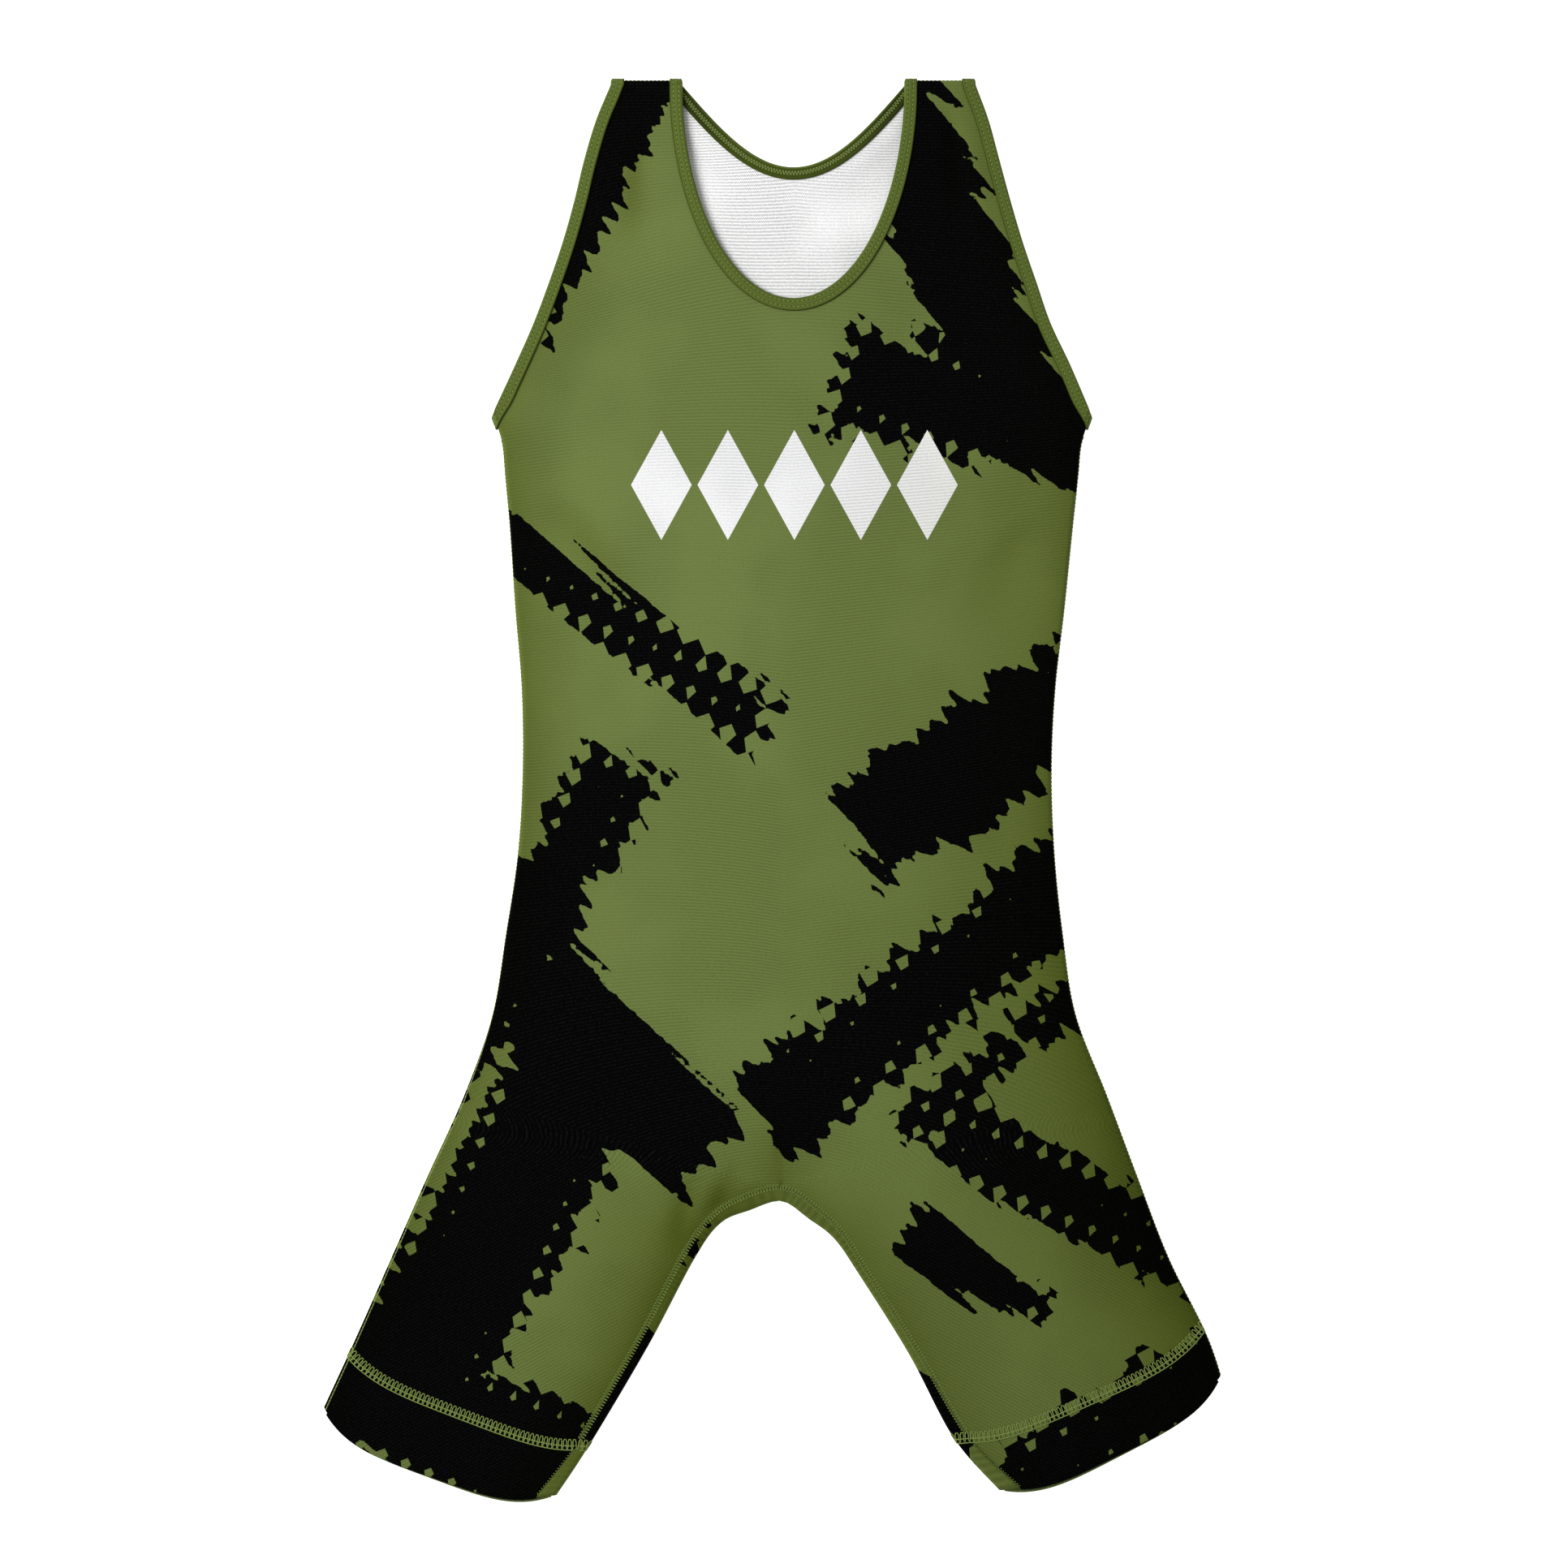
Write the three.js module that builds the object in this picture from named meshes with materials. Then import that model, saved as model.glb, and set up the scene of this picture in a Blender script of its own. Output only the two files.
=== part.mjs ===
// A wrestling singlet laid out flat on its back, in millimetres, +Z up, straps toward +Y.
//
// The garment is five cut pieces of knit: a front and a back, each whole from the leg hems to the
// shoulders, a binding round the neck and one round each armhole. The front lies on the back. They meet
// at folds along the sides and over the shoulders. The back also wraps round the inner edge of each leg
// and under the crotch, up to the inseam that lies on the front. Plan sizes are measured from the middle
// of the waist (x) and from the lowest point of the hems (y). The last lines move the origin.

import * as THREE from "three";

// Driving dimensions
const CLOTH = 1.2;
const SEAM_GAP = 0.3;
const BINDING_WIDTH = 7;
const BINDING_HALF_THICKNESS = 1.8;
const BINDING_SLOT_HALF = 0.9;
const BINDING_SLOT_BOTTOM = 1.1;
const BINDING_NOSE = 1.2;
const BINDING_NOSE_BEND = { over: 0.3, up: 0.62 * BINDING_HALF_THICKNESS };
const BINDING_EDGE_BEVEL = { over: 0.7, up: 0.25 };
const PANEL_EDGE_IN_SLOT = 2.1;
const HEM_LAYER_STEP = 1.5;

const CROTCH = { x: -4, y: 163 };
const SHOULDER_FOLD_Y = 767;
const NECK_CENTRE_X = 3.4;
const NECK_HALF_WIDTH = 60;
const FRONT_NECK_DEPTH = 115;
const BACK_NECK_DEPTH = 44;
const FRONT_NECK_ROW_SIDE_Y = 640;
const BACK_NECK_ROW_SIDE_Y = 708;
const UNDERARM_Y = 592;
const UNDERARM_CENTRE_Y = 580;

// The binding's fold at the underarm: the lean of the fold line from the lengthwise direction, the length
// of the slanted fold across the binding, and how far the strip slips along the fold as it turns.
const UNDERARM_LEAN = THREE.MathUtils.degToRad(20.7);
const UNDERARM_FOLD_LENGTH = 7.9;
const UNDERARM_SLIP = 3.3;
const SHOULDER_FOLD_LENGTH = 7.4;
const ACROSS_BLEND = 14;

// The line of the side seam, which is the outline from the hem to the underarm.
const SIDE_SEAM = [
  { y: 50, left: -251.5, right: 240 },
  { y: 88, left: -234, right: 228 },
  { y: 132, left: -214.5, right: 206.5 },
  { y: 176, left: -195, right: 189.5 },
  { y: 220, left: -175, right: 173 },
  { y: 264, left: -159.5, right: 156 },
  { y: 308, left: -152, right: 149 },
  { y: 352, left: -145.5, right: 144.5 },
  { y: 396, left: -143, right: 143 },
  { y: 440, left: -143.5, right: 145 },
  { y: 484, left: -147, right: 150 },
  { y: 528, left: -150, right: 154.5 },
  { y: 556, left: -152.5, right: 157.5 },
  { y: 572, left: -153.9, right: 159 },
  { y: 581, left: -156.5, right: 161.8 },
  { y: 590, left: -159.8, right: 165 },
];

// The opening edge of each armhole, from the underarm to the shoulder.
const ARMHOLE = [
  { y: 592, left: -158.1, right: 163.3 },
  { y: 616, left: -147, right: 153 },
  { y: 638, left: -137.3, right: 142.6 },
  { y: 660, left: -129, right: 135 },
  { y: 682, left: -121.5, right: 127.5 },
  { y: 704, left: -115.3, right: 121 },
  { y: 726, left: -110, right: 115 },
  { y: 748, left: -103.4, right: 109 },
  { y: 767, left: -95.5, right: 102 },
];

// One row for each section across a leg. side is the height where it meets the side seam, x and y are its
// point on the inner edge of the leg, strip is the width of back cloth that shows there on the front, and
// bow is how far the section sags toward the hem.
const LEG = {
  left: [
    { side: 52, x: -124.5, y: 4.5, strip: 10, bow: 15.5, rows: 3 },
    { side: 82, x: -107, y: 31, strip: 6, bow: 10, rows: 4 },
    { side: 131, x: -75, y: 85, strip: 6, bow: 4, rows: 3 },
    { side: 174, x: -50, y: 132, strip: 6, bow: 0, rows: 2 },
    { side: 196, x: -36, y: 151, strip: 5.5, bow: 0, rows: 2 },
    { side: 209, x: -20, y: 158, strip: 8, bow: 0, rows: 2 },
    { side: 220, x: CROTCH.x, y: CROTCH.y, strip: 7.5, bow: 0, rows: 0 },
  ],
  right: [
    { side: 69, x: 114.5, y: 7, strip: 11, bow: 14, rows: 3 },
    { side: 96, x: 90, y: 35, strip: 8, bow: 12, rows: 4 },
    { side: 136, x: 66, y: 80, strip: 5, bow: 4, rows: 3 },
    { side: 176, x: 39, y: 123, strip: 4.5, bow: 0, rows: 2 },
    { side: 197, x: 25.5, y: 142.5, strip: 5.5, bow: 0, rows: 2 },
    { side: 209, x: 12, y: 153, strip: 7.5, bow: 0, rows: 2 },
    { side: 220, x: CROTCH.x, y: CROTCH.y, strip: 7.5, bow: 0, rows: 0 },
  ],
};

// Sections across the body, by their heights at the side seam and on the centre line.
const BODY = [
  { side: 220, centre: null, rows: 6 },
  { side: 396, centre: 372, rows: 5 },
  { side: 556, centre: 546, rows: 3 },
  { side: 590, centre: UNDERARM_CENTRE_Y, rows: 0 },
];
const CHEST_ROWS = 4;
const STRAP_ROWS = 9;

// Heights of the middle of the cloth above the floor. station counts the parts of the garment: 0 hem, 1
// crotch, 2 underarm, 3 foot of the neckline, 4 shoulder. side and inner are the heights at a section's
// two ends, middle is the height between them.
const FRONT_HEIGHT = [
  { station: 0, side: 5.1, middle: 5.1, inner: 5.1 },
  { station: 0.167, side: 5.1, middle: 5.1, inner: 5.1 },
  { station: 0.3, side: 4.4, middle: 3.2, inner: 4.4 },
  { station: 1, side: 4.4, middle: 3.1, inner: 4.4 },
  { station: 1.12, side: 4.4, middle: 2.9, inner: 3.4 },
  { station: 1.3, side: 4.4, middle: 2.8, inner: 2.8 },
  { station: 1.84, side: 4.4, middle: 2.8, inner: 2.8 },
  { station: 1.955, side: 5.7, middle: 2.8, inner: 2.8 },
  { station: 2, side: 5.7, middle: 2.8, inner: 2.8 },
  { station: 2.01, side: 5.7, middle: 2.8, inner: 3.3 },
  { station: 3, side: 5.7, middle: 3.2, inner: 3.3 },
  { station: 3.45, side: 5.7, middle: 3.6, inner: 3.6 },
  { station: 3.8, side: 5.7, middle: 4.4, inner: 5.7 },
  { station: 4, side: 5.7, middle: 5.7, inner: 5.7 },
];
const BACK_HEIGHT = [
  { station: 0, side: 0.6, middle: 0.6, inner: 0.6 },
  { station: 1.84, side: 0.6, middle: 0.6, inner: 0.6 },
  { station: 1.955, side: 1.8, middle: 0.6, inner: 0.6 },
  { station: 2, side: 1.8, middle: 0.6, inner: 0.6 },
  { station: 2.01, side: 1.8, middle: 0.6, inner: 1.8 },
  { station: 3.7, side: 1.8, middle: 0.6, inner: 1.8 },
  { station: 4, side: 1.8, middle: 1.8, inner: 1.8 },
];
const LEDGE = { side: 1, bound: 9 };
const FALL = { front: 30, back: 10 };

// Places along a section from its outer end to its inner end, closer together near the ends.
const SECTION_STEPS = [0, 0.06, 0.14, 0.26, 0.4, 0.56, 0.71, 0.84, 0.94, 1];
const FOLD_STEPS = 3;
const WRAP_STEPS = 6;
const BOW_POWER = 4;
const BOUND_LINE_STEPS = 24;
const TURN_STEPS = 6;
const ARMHOLE_STEPS = 13;
const NECK_STEPS = { front: 14, back: 9 };

// Half the span over which a slope is measured: in millimetres on an outline, as a share on a curve.
const OUTLINE_SPAN = 1;
const CURVE_SPAN = 0.001;

const PRINT_GREEN = 0x6d7c46;
const BINDING_GREEN = 0x5c7830;

const SIGN = { left: -1, right: 1 };

function mix(a, b, t) {
  return a + (b - a) * t;
}

function smooth(from, to, value) {
  return THREE.MathUtils.smoothstep(value, from, to);
}

// A cubic from a to b with the given slopes at its ends.
function cubic(a, b, slopeA, slopeB, t) {
  const t2 = t * t;
  const t3 = t2 * t;
  const fromA = a * (2 * t3 - 3 * t2 + 1) + slopeA * (t3 - 2 * t2 + t);
  const fromB = b * (3 * t2 - 2 * t3) + slopeB * (t3 - t2);
  return fromA + fromB;
}

// A smooth curve through four values in a row, between the second and the third.
function curveThrough(before, a, b, after, t) {
  return cubic(a, b, (b - before) / 2, (after - a) / 2, t);
}

// Reads a column of a table at any value of its key column, smoothly between the rows.
function readSmooth(table, key, column, value) {
  let i = table.findIndex((row) => row[key] >= value) - 1;
  if (i === -2) i = table.length - 2;
  i = Math.max(i, 0);
  const before = table[Math.max(i - 1, 0)];
  const a = table[i];
  const b = table[i + 1];
  const after = table[Math.min(i + 2, table.length - 1)];
  const slope = (from, to) => (to[column] - from[column]) / (to[key] - from[key]);
  const span = b[key] - a[key];
  const t = (value - a[key]) / span;
  return cubic(a[column], b[column], slope(before, b) * span, slope(a, after) * span, t);
}

// Reads a column of a table with straight lines between the rows.
function readStraight(table, key, column, value) {
  const last = table.length - 1;
  if (value >= table[last][key]) return table[last][column];
  const i = Math.max(table.findIndex((row) => row[key] > value) - 1, 0);
  const t = (value - table[i][key]) / (table[i + 1][key] - table[i][key]);
  return mix(table[i][column], table[i + 1][column], t);
}

function heights(table, station) {
  return {
    side: readStraight(table, "station", "side", station),
    middle: readStraight(table, "station", "middle", station),
    inner: readStraight(table, "station", "inner", station),
  };
}

// The fold that joins front to back at the side or the inner end of a section: half its height, and the
// height of its middle.
function foldAt(station, end) {
  const front = heights(FRONT_HEIGHT, station)[end];
  const back = heights(BACK_HEIGHT, station)[end];
  return { radius: (front - back) / 2, centre: (front + back) / 2 };
}

function centreX(y) {
  const neckFoot = SHOULDER_FOLD_Y - FRONT_NECK_DEPTH;
  return mix(CROTCH.x, NECK_CENTRE_X, (y - CROTCH.y) / (neckFoot - CROTCH.y));
}

// A point of the side seam's outline with the direction that faces away from the body.
function sideSeamPoint(side, y) {
  const x = readSmooth(SIDE_SEAM, "y", side, y);
  const above = readSmooth(SIDE_SEAM, "y", side, y + OUTLINE_SPAN);
  const below = readSmooth(SIDE_SEAM, "y", side, y - OUTLINE_SPAN);
  const out = new THREE.Vector2(SIGN[side] * 2 * OUTLINE_SPAN, SIGN[side] * (below - above)).normalize();
  return { at: new THREE.Vector2(x, y), out };
}

// Turns the direction across a bound edge toward a given one near a fold.
function blendAcross(square, folded, foldedLength, share) {
  const direction = square.clone().lerp(folded, share).normalize();
  return direction.multiplyScalar(mix(BINDING_WIDTH, foldedLength, share));
}

// The direction of the slanted fold at the underarm, across the binding.
function underarmAcross(side) {
  return new THREE.Vector2(-SIGN[side] * Math.sin(UNDERARM_LEAN), -Math.cos(UNDERARM_LEAN));
}

// The direction that the binding's fold at the underarm faces.
function underarmOut(side) {
  const across = underarmAcross(side);
  return new THREE.Vector2(-SIGN[side] * across.y, SIGN[side] * across.x);
}

// The armhole's opening edge: at is on the edge, across points over the binding into the cloth.
function armholeEdge(side, y) {
  const x = readSmooth(ARMHOLE, "y", side, y);
  const above = readSmooth(ARMHOLE, "y", side, y + OUTLINE_SPAN);
  const below = readSmooth(ARMHOLE, "y", side, y - OUTLINE_SPAN);
  const square = new THREE.Vector2(-SIGN[side] * 2 * OUTLINE_SPAN, SIGN[side] * (above - below)).normalize();
  const nearUnderarm = 1 - smooth(0, ACROSS_BLEND, y - UNDERARM_Y);
  const nearShoulder = 1 - smooth(0, ACROSS_BLEND, SHOULDER_FOLD_Y - y);
  const level = new THREE.Vector2(-SIGN[side], 0);
  const across =
    nearUnderarm > 0
      ? blendAcross(square, underarmAcross(side), UNDERARM_FOLD_LENGTH, nearUnderarm)
      : blendAcross(square, level, SHOULDER_FOLD_LENGTH, nearShoulder);
  return { at: new THREE.Vector2(x, y), across };
}

// The neck's opening edge from the centre (0) to the shoulder fold (1): half an ellipse in front, a
// shallow arch behind.
function neckEdge(panel, side, t) {
  const place = (u) => {
    const quarter = (Math.PI / 2) * u;
    const reach = panel === "front" ? Math.sin(quarter) : u;
    const depth = panel === "front" ? FRONT_NECK_DEPTH : BACK_NECK_DEPTH;
    const x = NECK_CENTRE_X + SIGN[side] * NECK_HALF_WIDTH * reach;
    return new THREE.Vector2(x, SHOULDER_FOLD_Y - depth * Math.cos(quarter));
  };
  const at = place(t);
  const along = place(t + CURVE_SPAN).sub(place(t - CURVE_SPAN));
  const square = new THREE.Vector2(SIGN[side] * along.y, -SIGN[side] * along.x).normalize();
  const level = new THREE.Vector2(SIGN[side], 0);
  const share = 1 - smooth(0, ACROSS_BLEND, SHOULDER_FOLD_Y - at.y);
  return { at, across: blendAcross(square, level, BINDING_WIDTH, share) };
}

// Where a panel's own edge lies inside a binding.
function edgeInBinding(edge) {
  const inset = edge.across.clone().setLength(PANEL_EDGE_IN_SLOT);
  return edge.at.clone().add(inset);
}

// The sections of one leg, from the hem to the crotch, with the inner edge and its outward direction.
function legSections(side) {
  const table = LEG[side];
  const apex = table[table.length - 1];
  const beforeApex = table[table.length - 2];
  const mirrored = { ...beforeApex, x: 2 * apex.x - beforeApex.x };
  const points = [table[0], ...table, mirrored, mirrored];
  const sections = [];
  table.forEach((row, i) => {
    const count = Math.max(row.rows, 1);
    const read = (column, u) => curveThrough(...points.slice(i, i + 4).map((point) => point[column]), u);
    for (let k = 0; k < count; k += 1) {
      const t = k / count;
      const dx = read("x", t + CURVE_SPAN) - read("x", t - CURVE_SPAN);
      const dy = read("y", t + CURVE_SPAN) - read("y", t - CURVE_SPAN);
      const out = new THREE.Vector2(-SIGN[side] * dy, SIGN[side] * dx).normalize();
      const after = table[Math.min(i + 1, table.length - 1)];
      sections.push({
        station: (i + t) / (table.length - 1),
        sideY: mix(row.side, after.side, t),
        inner: new THREE.Vector2(read("x", t), read("y", t)),
        out,
        strip: mix(row.strip, after.strip, t),
        bow: mix(row.bow, after.bow, t),
      });
    }
  });
  return sections;
}

// All sections of one half of a panel, each with the two ends of its flat stretch.
function halfSections(panel, side) {
  const foldReach = (station, end) => foldAt(station, end).radius + CLOTH / 2;
  const outerEnd = (station, sideY) => {
    const seam = sideSeamPoint(side, sideY);
    const flat = seam.at.clone().addScaledVector(seam.out, -foldReach(station, "side"));
    return { flat, out: seam.out, outline: seam.at };
  };
  const sections = [];
  for (const leg of legSections(side)) {
    const inset = panel === "front" ? leg.strip + SEAM_GAP : foldReach(leg.station, "inner");
    sections.push({
      ...leg,
      ...outerEnd(leg.station, leg.sideY),
      innerFlat: leg.inner.clone().addScaledVector(leg.out, -inset),
      innerOut: leg.out,
      innerOutline: leg.inner,
    });
  }
  const crotchY = sections[sections.length - 1].innerFlat.y;
  BODY.forEach((row, i) => {
    for (let k = 1; k <= row.rows; k += 1) {
      const t = k / row.rows;
      const next = BODY[i + 1];
      const sideY = mix(row.side, next.side, t);
      const centreY = mix(row.centre ?? crotchY, next.centre, t);
      const station = 1 + (sideY - BODY[0].side) / (BODY[BODY.length - 1].side - BODY[0].side);
      const atUnderarm = i === BODY.length - 2 && k === row.rows;
      const end = outerEnd(station, sideY);
      sections.push({
        station,
        flat: atUnderarm ? edgeInBinding(armholeEdge(side, UNDERARM_Y)) : end.flat,
        out: atUnderarm ? underarmOut(side) : end.out,
        slip: atUnderarm ? underarmAcross(side).multiplyScalar(UNDERARM_SLIP) : null,
        innerFlat: new THREE.Vector2(centreX(centreY), centreY),
        bow: 0,
      });
    }
  });
  const neckRowY = panel === "front" ? FRONT_NECK_ROW_SIDE_Y : BACK_NECK_ROW_SIDE_Y;
  const neckFoot = edgeInBinding(neckEdge(panel, side, 0));
  for (let k = 1; k <= CHEST_ROWS; k += 1) {
    const t = k / CHEST_ROWS;
    const centreY = mix(UNDERARM_CENTRE_Y, neckFoot.y, t);
    sections.push({
      station: 2 + t,
      flat: edgeInBinding(armholeEdge(side, mix(UNDERARM_Y, neckRowY, t))),
      innerFlat: k === CHEST_ROWS ? neckFoot : new THREE.Vector2(centreX(centreY), centreY),
      bow: 0,
    });
  }
  for (let k = 1; k <= STRAP_ROWS; k += 1) {
    const t = k / STRAP_ROWS;
    sections.push({
      station: 3 + t,
      flat: edgeInBinding(armholeEdge(side, mix(neckRowY, SHOULDER_FOLD_Y, t))),
      innerFlat: edgeInBinding(neckEdge(panel, side, t)),
      bow: 0,
    });
  }
  return sections;
}

// How far a plan point lies from a line of plan points.
function distanceToLine(point, line) {
  let nearest = Infinity;
  for (let i = 0; i + 1 < line.length; i += 1) {
    const along = line[i + 1].clone().sub(line[i]);
    const toPoint = point.clone().sub(line[i]);
    const t = THREE.MathUtils.clamp(toPoint.dot(along) / along.lengthSq(), 0, 1);
    nearest = Math.min(nearest, toPoint.addScaledVector(along, -t).length());
  }
  return nearest;
}

// Moves a point toward the hem by its section's sag. The sag is the same for every layer of cloth, because
// it is measured between the outlines on both sides of the leg.
function sag(side, section, point) {
  if (!section.bow) return point;
  const across = section.innerOutline.clone().sub(section.outline);
  const from = new THREE.Vector2(point.x, point.y).sub(section.outline);
  const share = THREE.MathUtils.clamp(from.dot(across) / across.lengthSq(), 0, 1);
  const depth = section.bow * (1 - Math.abs(2 * share - 1) ** BOW_POWER);
  const towardHem = new THREE.Vector2(-SIGN[side] * across.y, SIGN[side] * across.x).setLength(depth);
  return new THREE.Vector3(point.x + towardHem.x, point.y + towardHem.y, point.z);
}

// The lines that a panel's own edges follow inside the bindings.
function boundLines(panel, side) {
  const armhole = [];
  const neck = [];
  for (let k = 0; k <= BOUND_LINE_STEPS; k += 1) {
    const t = k / BOUND_LINE_STEPS;
    armhole.push(edgeInBinding(armholeEdge(side, mix(UNDERARM_Y, SHOULDER_FOLD_Y, t))));
    neck.push(edgeInBinding(neckEdge(panel, side, t)));
  }
  return { armhole, neck };
}

// The flat stretch of a section, as points at the height of the cloth's middle.
function flatPoints(panel, side, section, lines) {
  const table = panel === "front" ? FRONT_HEIGHT : BACK_HEIGHT;
  const level = heights(table, section.station);
  const length = section.flat.distanceTo(section.innerFlat);
  const along = section.innerFlat.clone().sub(section.flat).normalize();
  const above = section.station > 2;
  const nearness = (distance, ledge) => 1 - smooth(ledge, ledge + FALL[panel], distance);
  return SECTION_STEPS.map((share) => {
    const flatPoint = section.flat.clone().addScaledVector(along, share * length);
    const nearArmhole = nearness(distanceToLine(flatPoint, lines.armhole), LEDGE.bound);
    const nearNeck = nearness(distanceToLine(flatPoint, lines.neck), LEDGE.bound);
    const nearSide = above ? nearArmhole : Math.max(nearArmhole, nearness(share * length, LEDGE.side));
    const nearInner = above ? nearNeck : nearness((1 - share) * length, LEDGE.side);
    const total = Math.max(nearSide + nearInner, 1);
    const height =
      level.middle +
      ((level.side - level.middle) * nearSide + (level.inner - level.middle) * nearInner) / total;
    return sag(side, section, new THREE.Vector3(flatPoint.x, flatPoint.y, height));
  });
}

// The angle at which a panel stops on a fold, half a seam gap short of the fold's outermost line.
function seamAngle(radius) {
  return Math.PI / 2 - SEAM_GAP / 2 / radius;
}

// Points round a fold, from the flat stretch (angle 0) outward.
function foldPoint(panel, at, out, fold, angle, slip) {
  const turn = Math.sin(angle) * fold.radius;
  const point = at.clone().addScaledVector(out, turn);
  if (slip) point.addScaledVector(slip, Math.sin(angle));
  const rise = Math.cos(angle) * fold.radius * (panel === "front" ? 1 : -1);
  return new THREE.Vector3(point.x, point.y, fold.centre + rise);
}

// The grids of points that make one half of a panel. Neighbouring grids share their border points. A
// guide grid has no cloth: it continues a fold past its edge, so that the wall ends square to the fold.
function halfGrids(panel, side) {
  const sections = halfSections(panel, side);
  const lines = boundLines(panel, side);
  const flat = sections.map((section) => flatPoints(panel, side, section, lines));
  const grids = [{ rows: flat }];

  const folded = sections.filter((section) => section.station <= 2);
  const sideFold = (from, to) =>
    folded.map((section) => {
      const fold = foldAt(section.station, "side");
      const row = [];
      for (let k = from; k >= to; k -= 1) {
        const angle = (seamAngle(fold.radius) * k) / FOLD_STEPS;
        const point = foldPoint(panel, section.flat, section.out, fold, angle, section.slip);
        row.push(sag(side, section, point));
      }
      return row;
    });
  grids.push({ rows: sideFold(FOLD_STEPS, 0) });
  grids.push({ rows: sideFold(FOLD_STEPS + 1, FOLD_STEPS), guide: true });

  const top = flat[flat.length - 1];
  const shoulder = foldAt(4, "side");
  const up = new THREE.Vector2(0, 1);
  const topFold = [];
  for (let k = 0; k <= FOLD_STEPS + 1; k += 1) {
    const angle = (seamAngle(shoulder.radius) * k) / FOLD_STEPS;
    topFold.push(top.map(({ x, y }) => foldPoint(panel, new THREE.Vector2(x, y), up, shoulder, angle, null)));
  }
  grids.push({ rows: topFold.slice(0, FOLD_STEPS + 1) });
  grids.push({ rows: topFold.slice(FOLD_STEPS), guide: true });

  grids.push({ rows: turnedHem(panel, side, sections, flat) });
  if (panel === "back") grids.push({ rows: innerLegWrap(side, sections) });
  return grids;
}

// The hem folds inward and runs back up the leg under the outer layer, to the hem's stitching.
function turnedHem(panel, side, sections, flat) {
  const inward = panel === "front" ? -1 : 1;
  const radius = HEM_LAYER_STEP / 2;
  const hem = sections[0];
  const along = hem.innerFlat.clone().sub(hem.flat).normalize();
  const down = new THREE.Vector3(-SIGN[side] * along.y, SIGN[side] * along.x, 0);
  const rows = [];
  for (let k = FOLD_STEPS; k >= 1; k -= 1) {
    const angle = (Math.PI * k) / FOLD_STEPS;
    rows.push(
      flat[0].map((p) => {
        const point = p.clone().addScaledVector(down, radius * Math.sin(angle));
        point.z += inward * radius * (1 - Math.cos(angle));
        return point;
      }),
    );
  }
  const step = new THREE.Vector3(0, 0, inward * HEM_LAYER_STEP);
  const stitched = flat.slice(1, LEG[side][0].rows + 1).reverse();
  const layer = stitched.map((row) => row.map((p) => p.clone().add(step)));
  return [...layer, ...rows, flat[0]];
}

// The back cloth wraps round the inner edge of the leg and lies on top as far as the inseam.
function innerLegWrap(side, sections) {
  const leg = sections.filter((section) => section.station <= 1);
  return leg.map((section) => {
    const fold = foldAt(section.station, "inner");
    const row = [];
    for (let k = 0; k <= WRAP_STEPS; k += 1) {
      const angle = (Math.PI * k) / WRAP_STEPS;
      row.push(foldPoint("back", section.innerFlat, section.innerOut, fold, angle, null));
    }
    const onTop = section.strip - fold.radius - CLOTH / 2;
    const end = section.innerFlat.clone().addScaledVector(section.innerOut, -onTop);
    row.push(new THREE.Vector3(end.x, end.y, fold.centre + fold.radius));
    return row.map((point) => sag(side, section, point));
  });
}

// Gives a sheet of points its thickness: each point moves out both ways along its normal, and the open
// borders are closed, so the result is one closed wall.
function wallGeometry(grids, thickness) {
  const points = [];
  const places = new Map();
  const faces = [];
  const keyOf = (point) => point.toArray().map((value) => Math.round(value * 1000)).join(" ");
  const indexOf = (point) => {
    const key = keyOf(point);
    if (!places.has(key)) {
      places.set(key, points.length);
      points.push(point.clone());
    }
    return places.get(key);
  };
  const corners = [];
  for (const { rows, flip, guide } of grids) {
    for (let i = 0; i + 1 < rows.length; i += 1) {
      for (let j = 0; j + 1 < rows[i].length; j += 1) {
        const [a, b, c, d] = [rows[i][j], rows[i][j + 1], rows[i + 1][j + 1], rows[i + 1][j]];
        corners.push({ triangle: flip ? [a, c, b] : [a, b, c], guide });
        corners.push({ triangle: flip ? [a, d, c] : [a, c, d], guide });
      }
    }
  }
  for (const { triangle, guide } of corners) {
    if (guide) continue;
    const face = triangle.map(indexOf);
    if (new Set(face).size === 3) faces.push(face);
  }
  const normals = points.map(() => new THREE.Vector3());
  for (const { triangle } of corners) {
    const [a, b, c] = triangle;
    const normal = b.clone().sub(a).cross(c.clone().sub(a));
    for (const point of triangle) {
      const known = places.get(keyOf(point));
      if (known !== undefined) normals[known].add(normal);
    }
  }
  normals.forEach((normal) => normal.normalize());

  const position = [];
  for (const sign of [1, -1]) {
    points.forEach((point, i) => {
      position.push(...point.clone().addScaledVector(normals[i], (sign * thickness) / 2).toArray());
    });
  }
  const count = points.length;
  const index = [];
  const edges = new Map();
  for (const [a, b, c] of faces) {
    index.push(a, b, c, count + a, count + c, count + b);
    for (const [from, to] of [[a, b], [b, c], [c, a]]) {
      const reverse = `${to} ${from}`;
      if (edges.has(reverse)) edges.delete(reverse);
      else edges.set(`${from} ${to}`, [from, to]);
    }
  }
  for (const [from, to] of edges.values()) {
    index.push(to, from, count + from, to, count + from, count + to);
  }
  return indexedGeometry(position, index);
}

function indexedGeometry(position, index) {
  const geometry = new THREE.BufferGeometry();
  geometry.setAttribute("position", new THREE.Float32BufferAttribute(position, 3));
  geometry.setIndex(index);
  geometry.computeVertexNormals();
  return geometry;
}

function panelGeometry(panel) {
  const grids = [];
  for (const side of ["left", "right"]) {
    const flip = (side === "right") !== (panel === "back");
    for (const grid of halfGrids(panel, side)) grids.push({ ...grid, flip });
  }
  return wallGeometry(grids, CLOTH);
}

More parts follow.
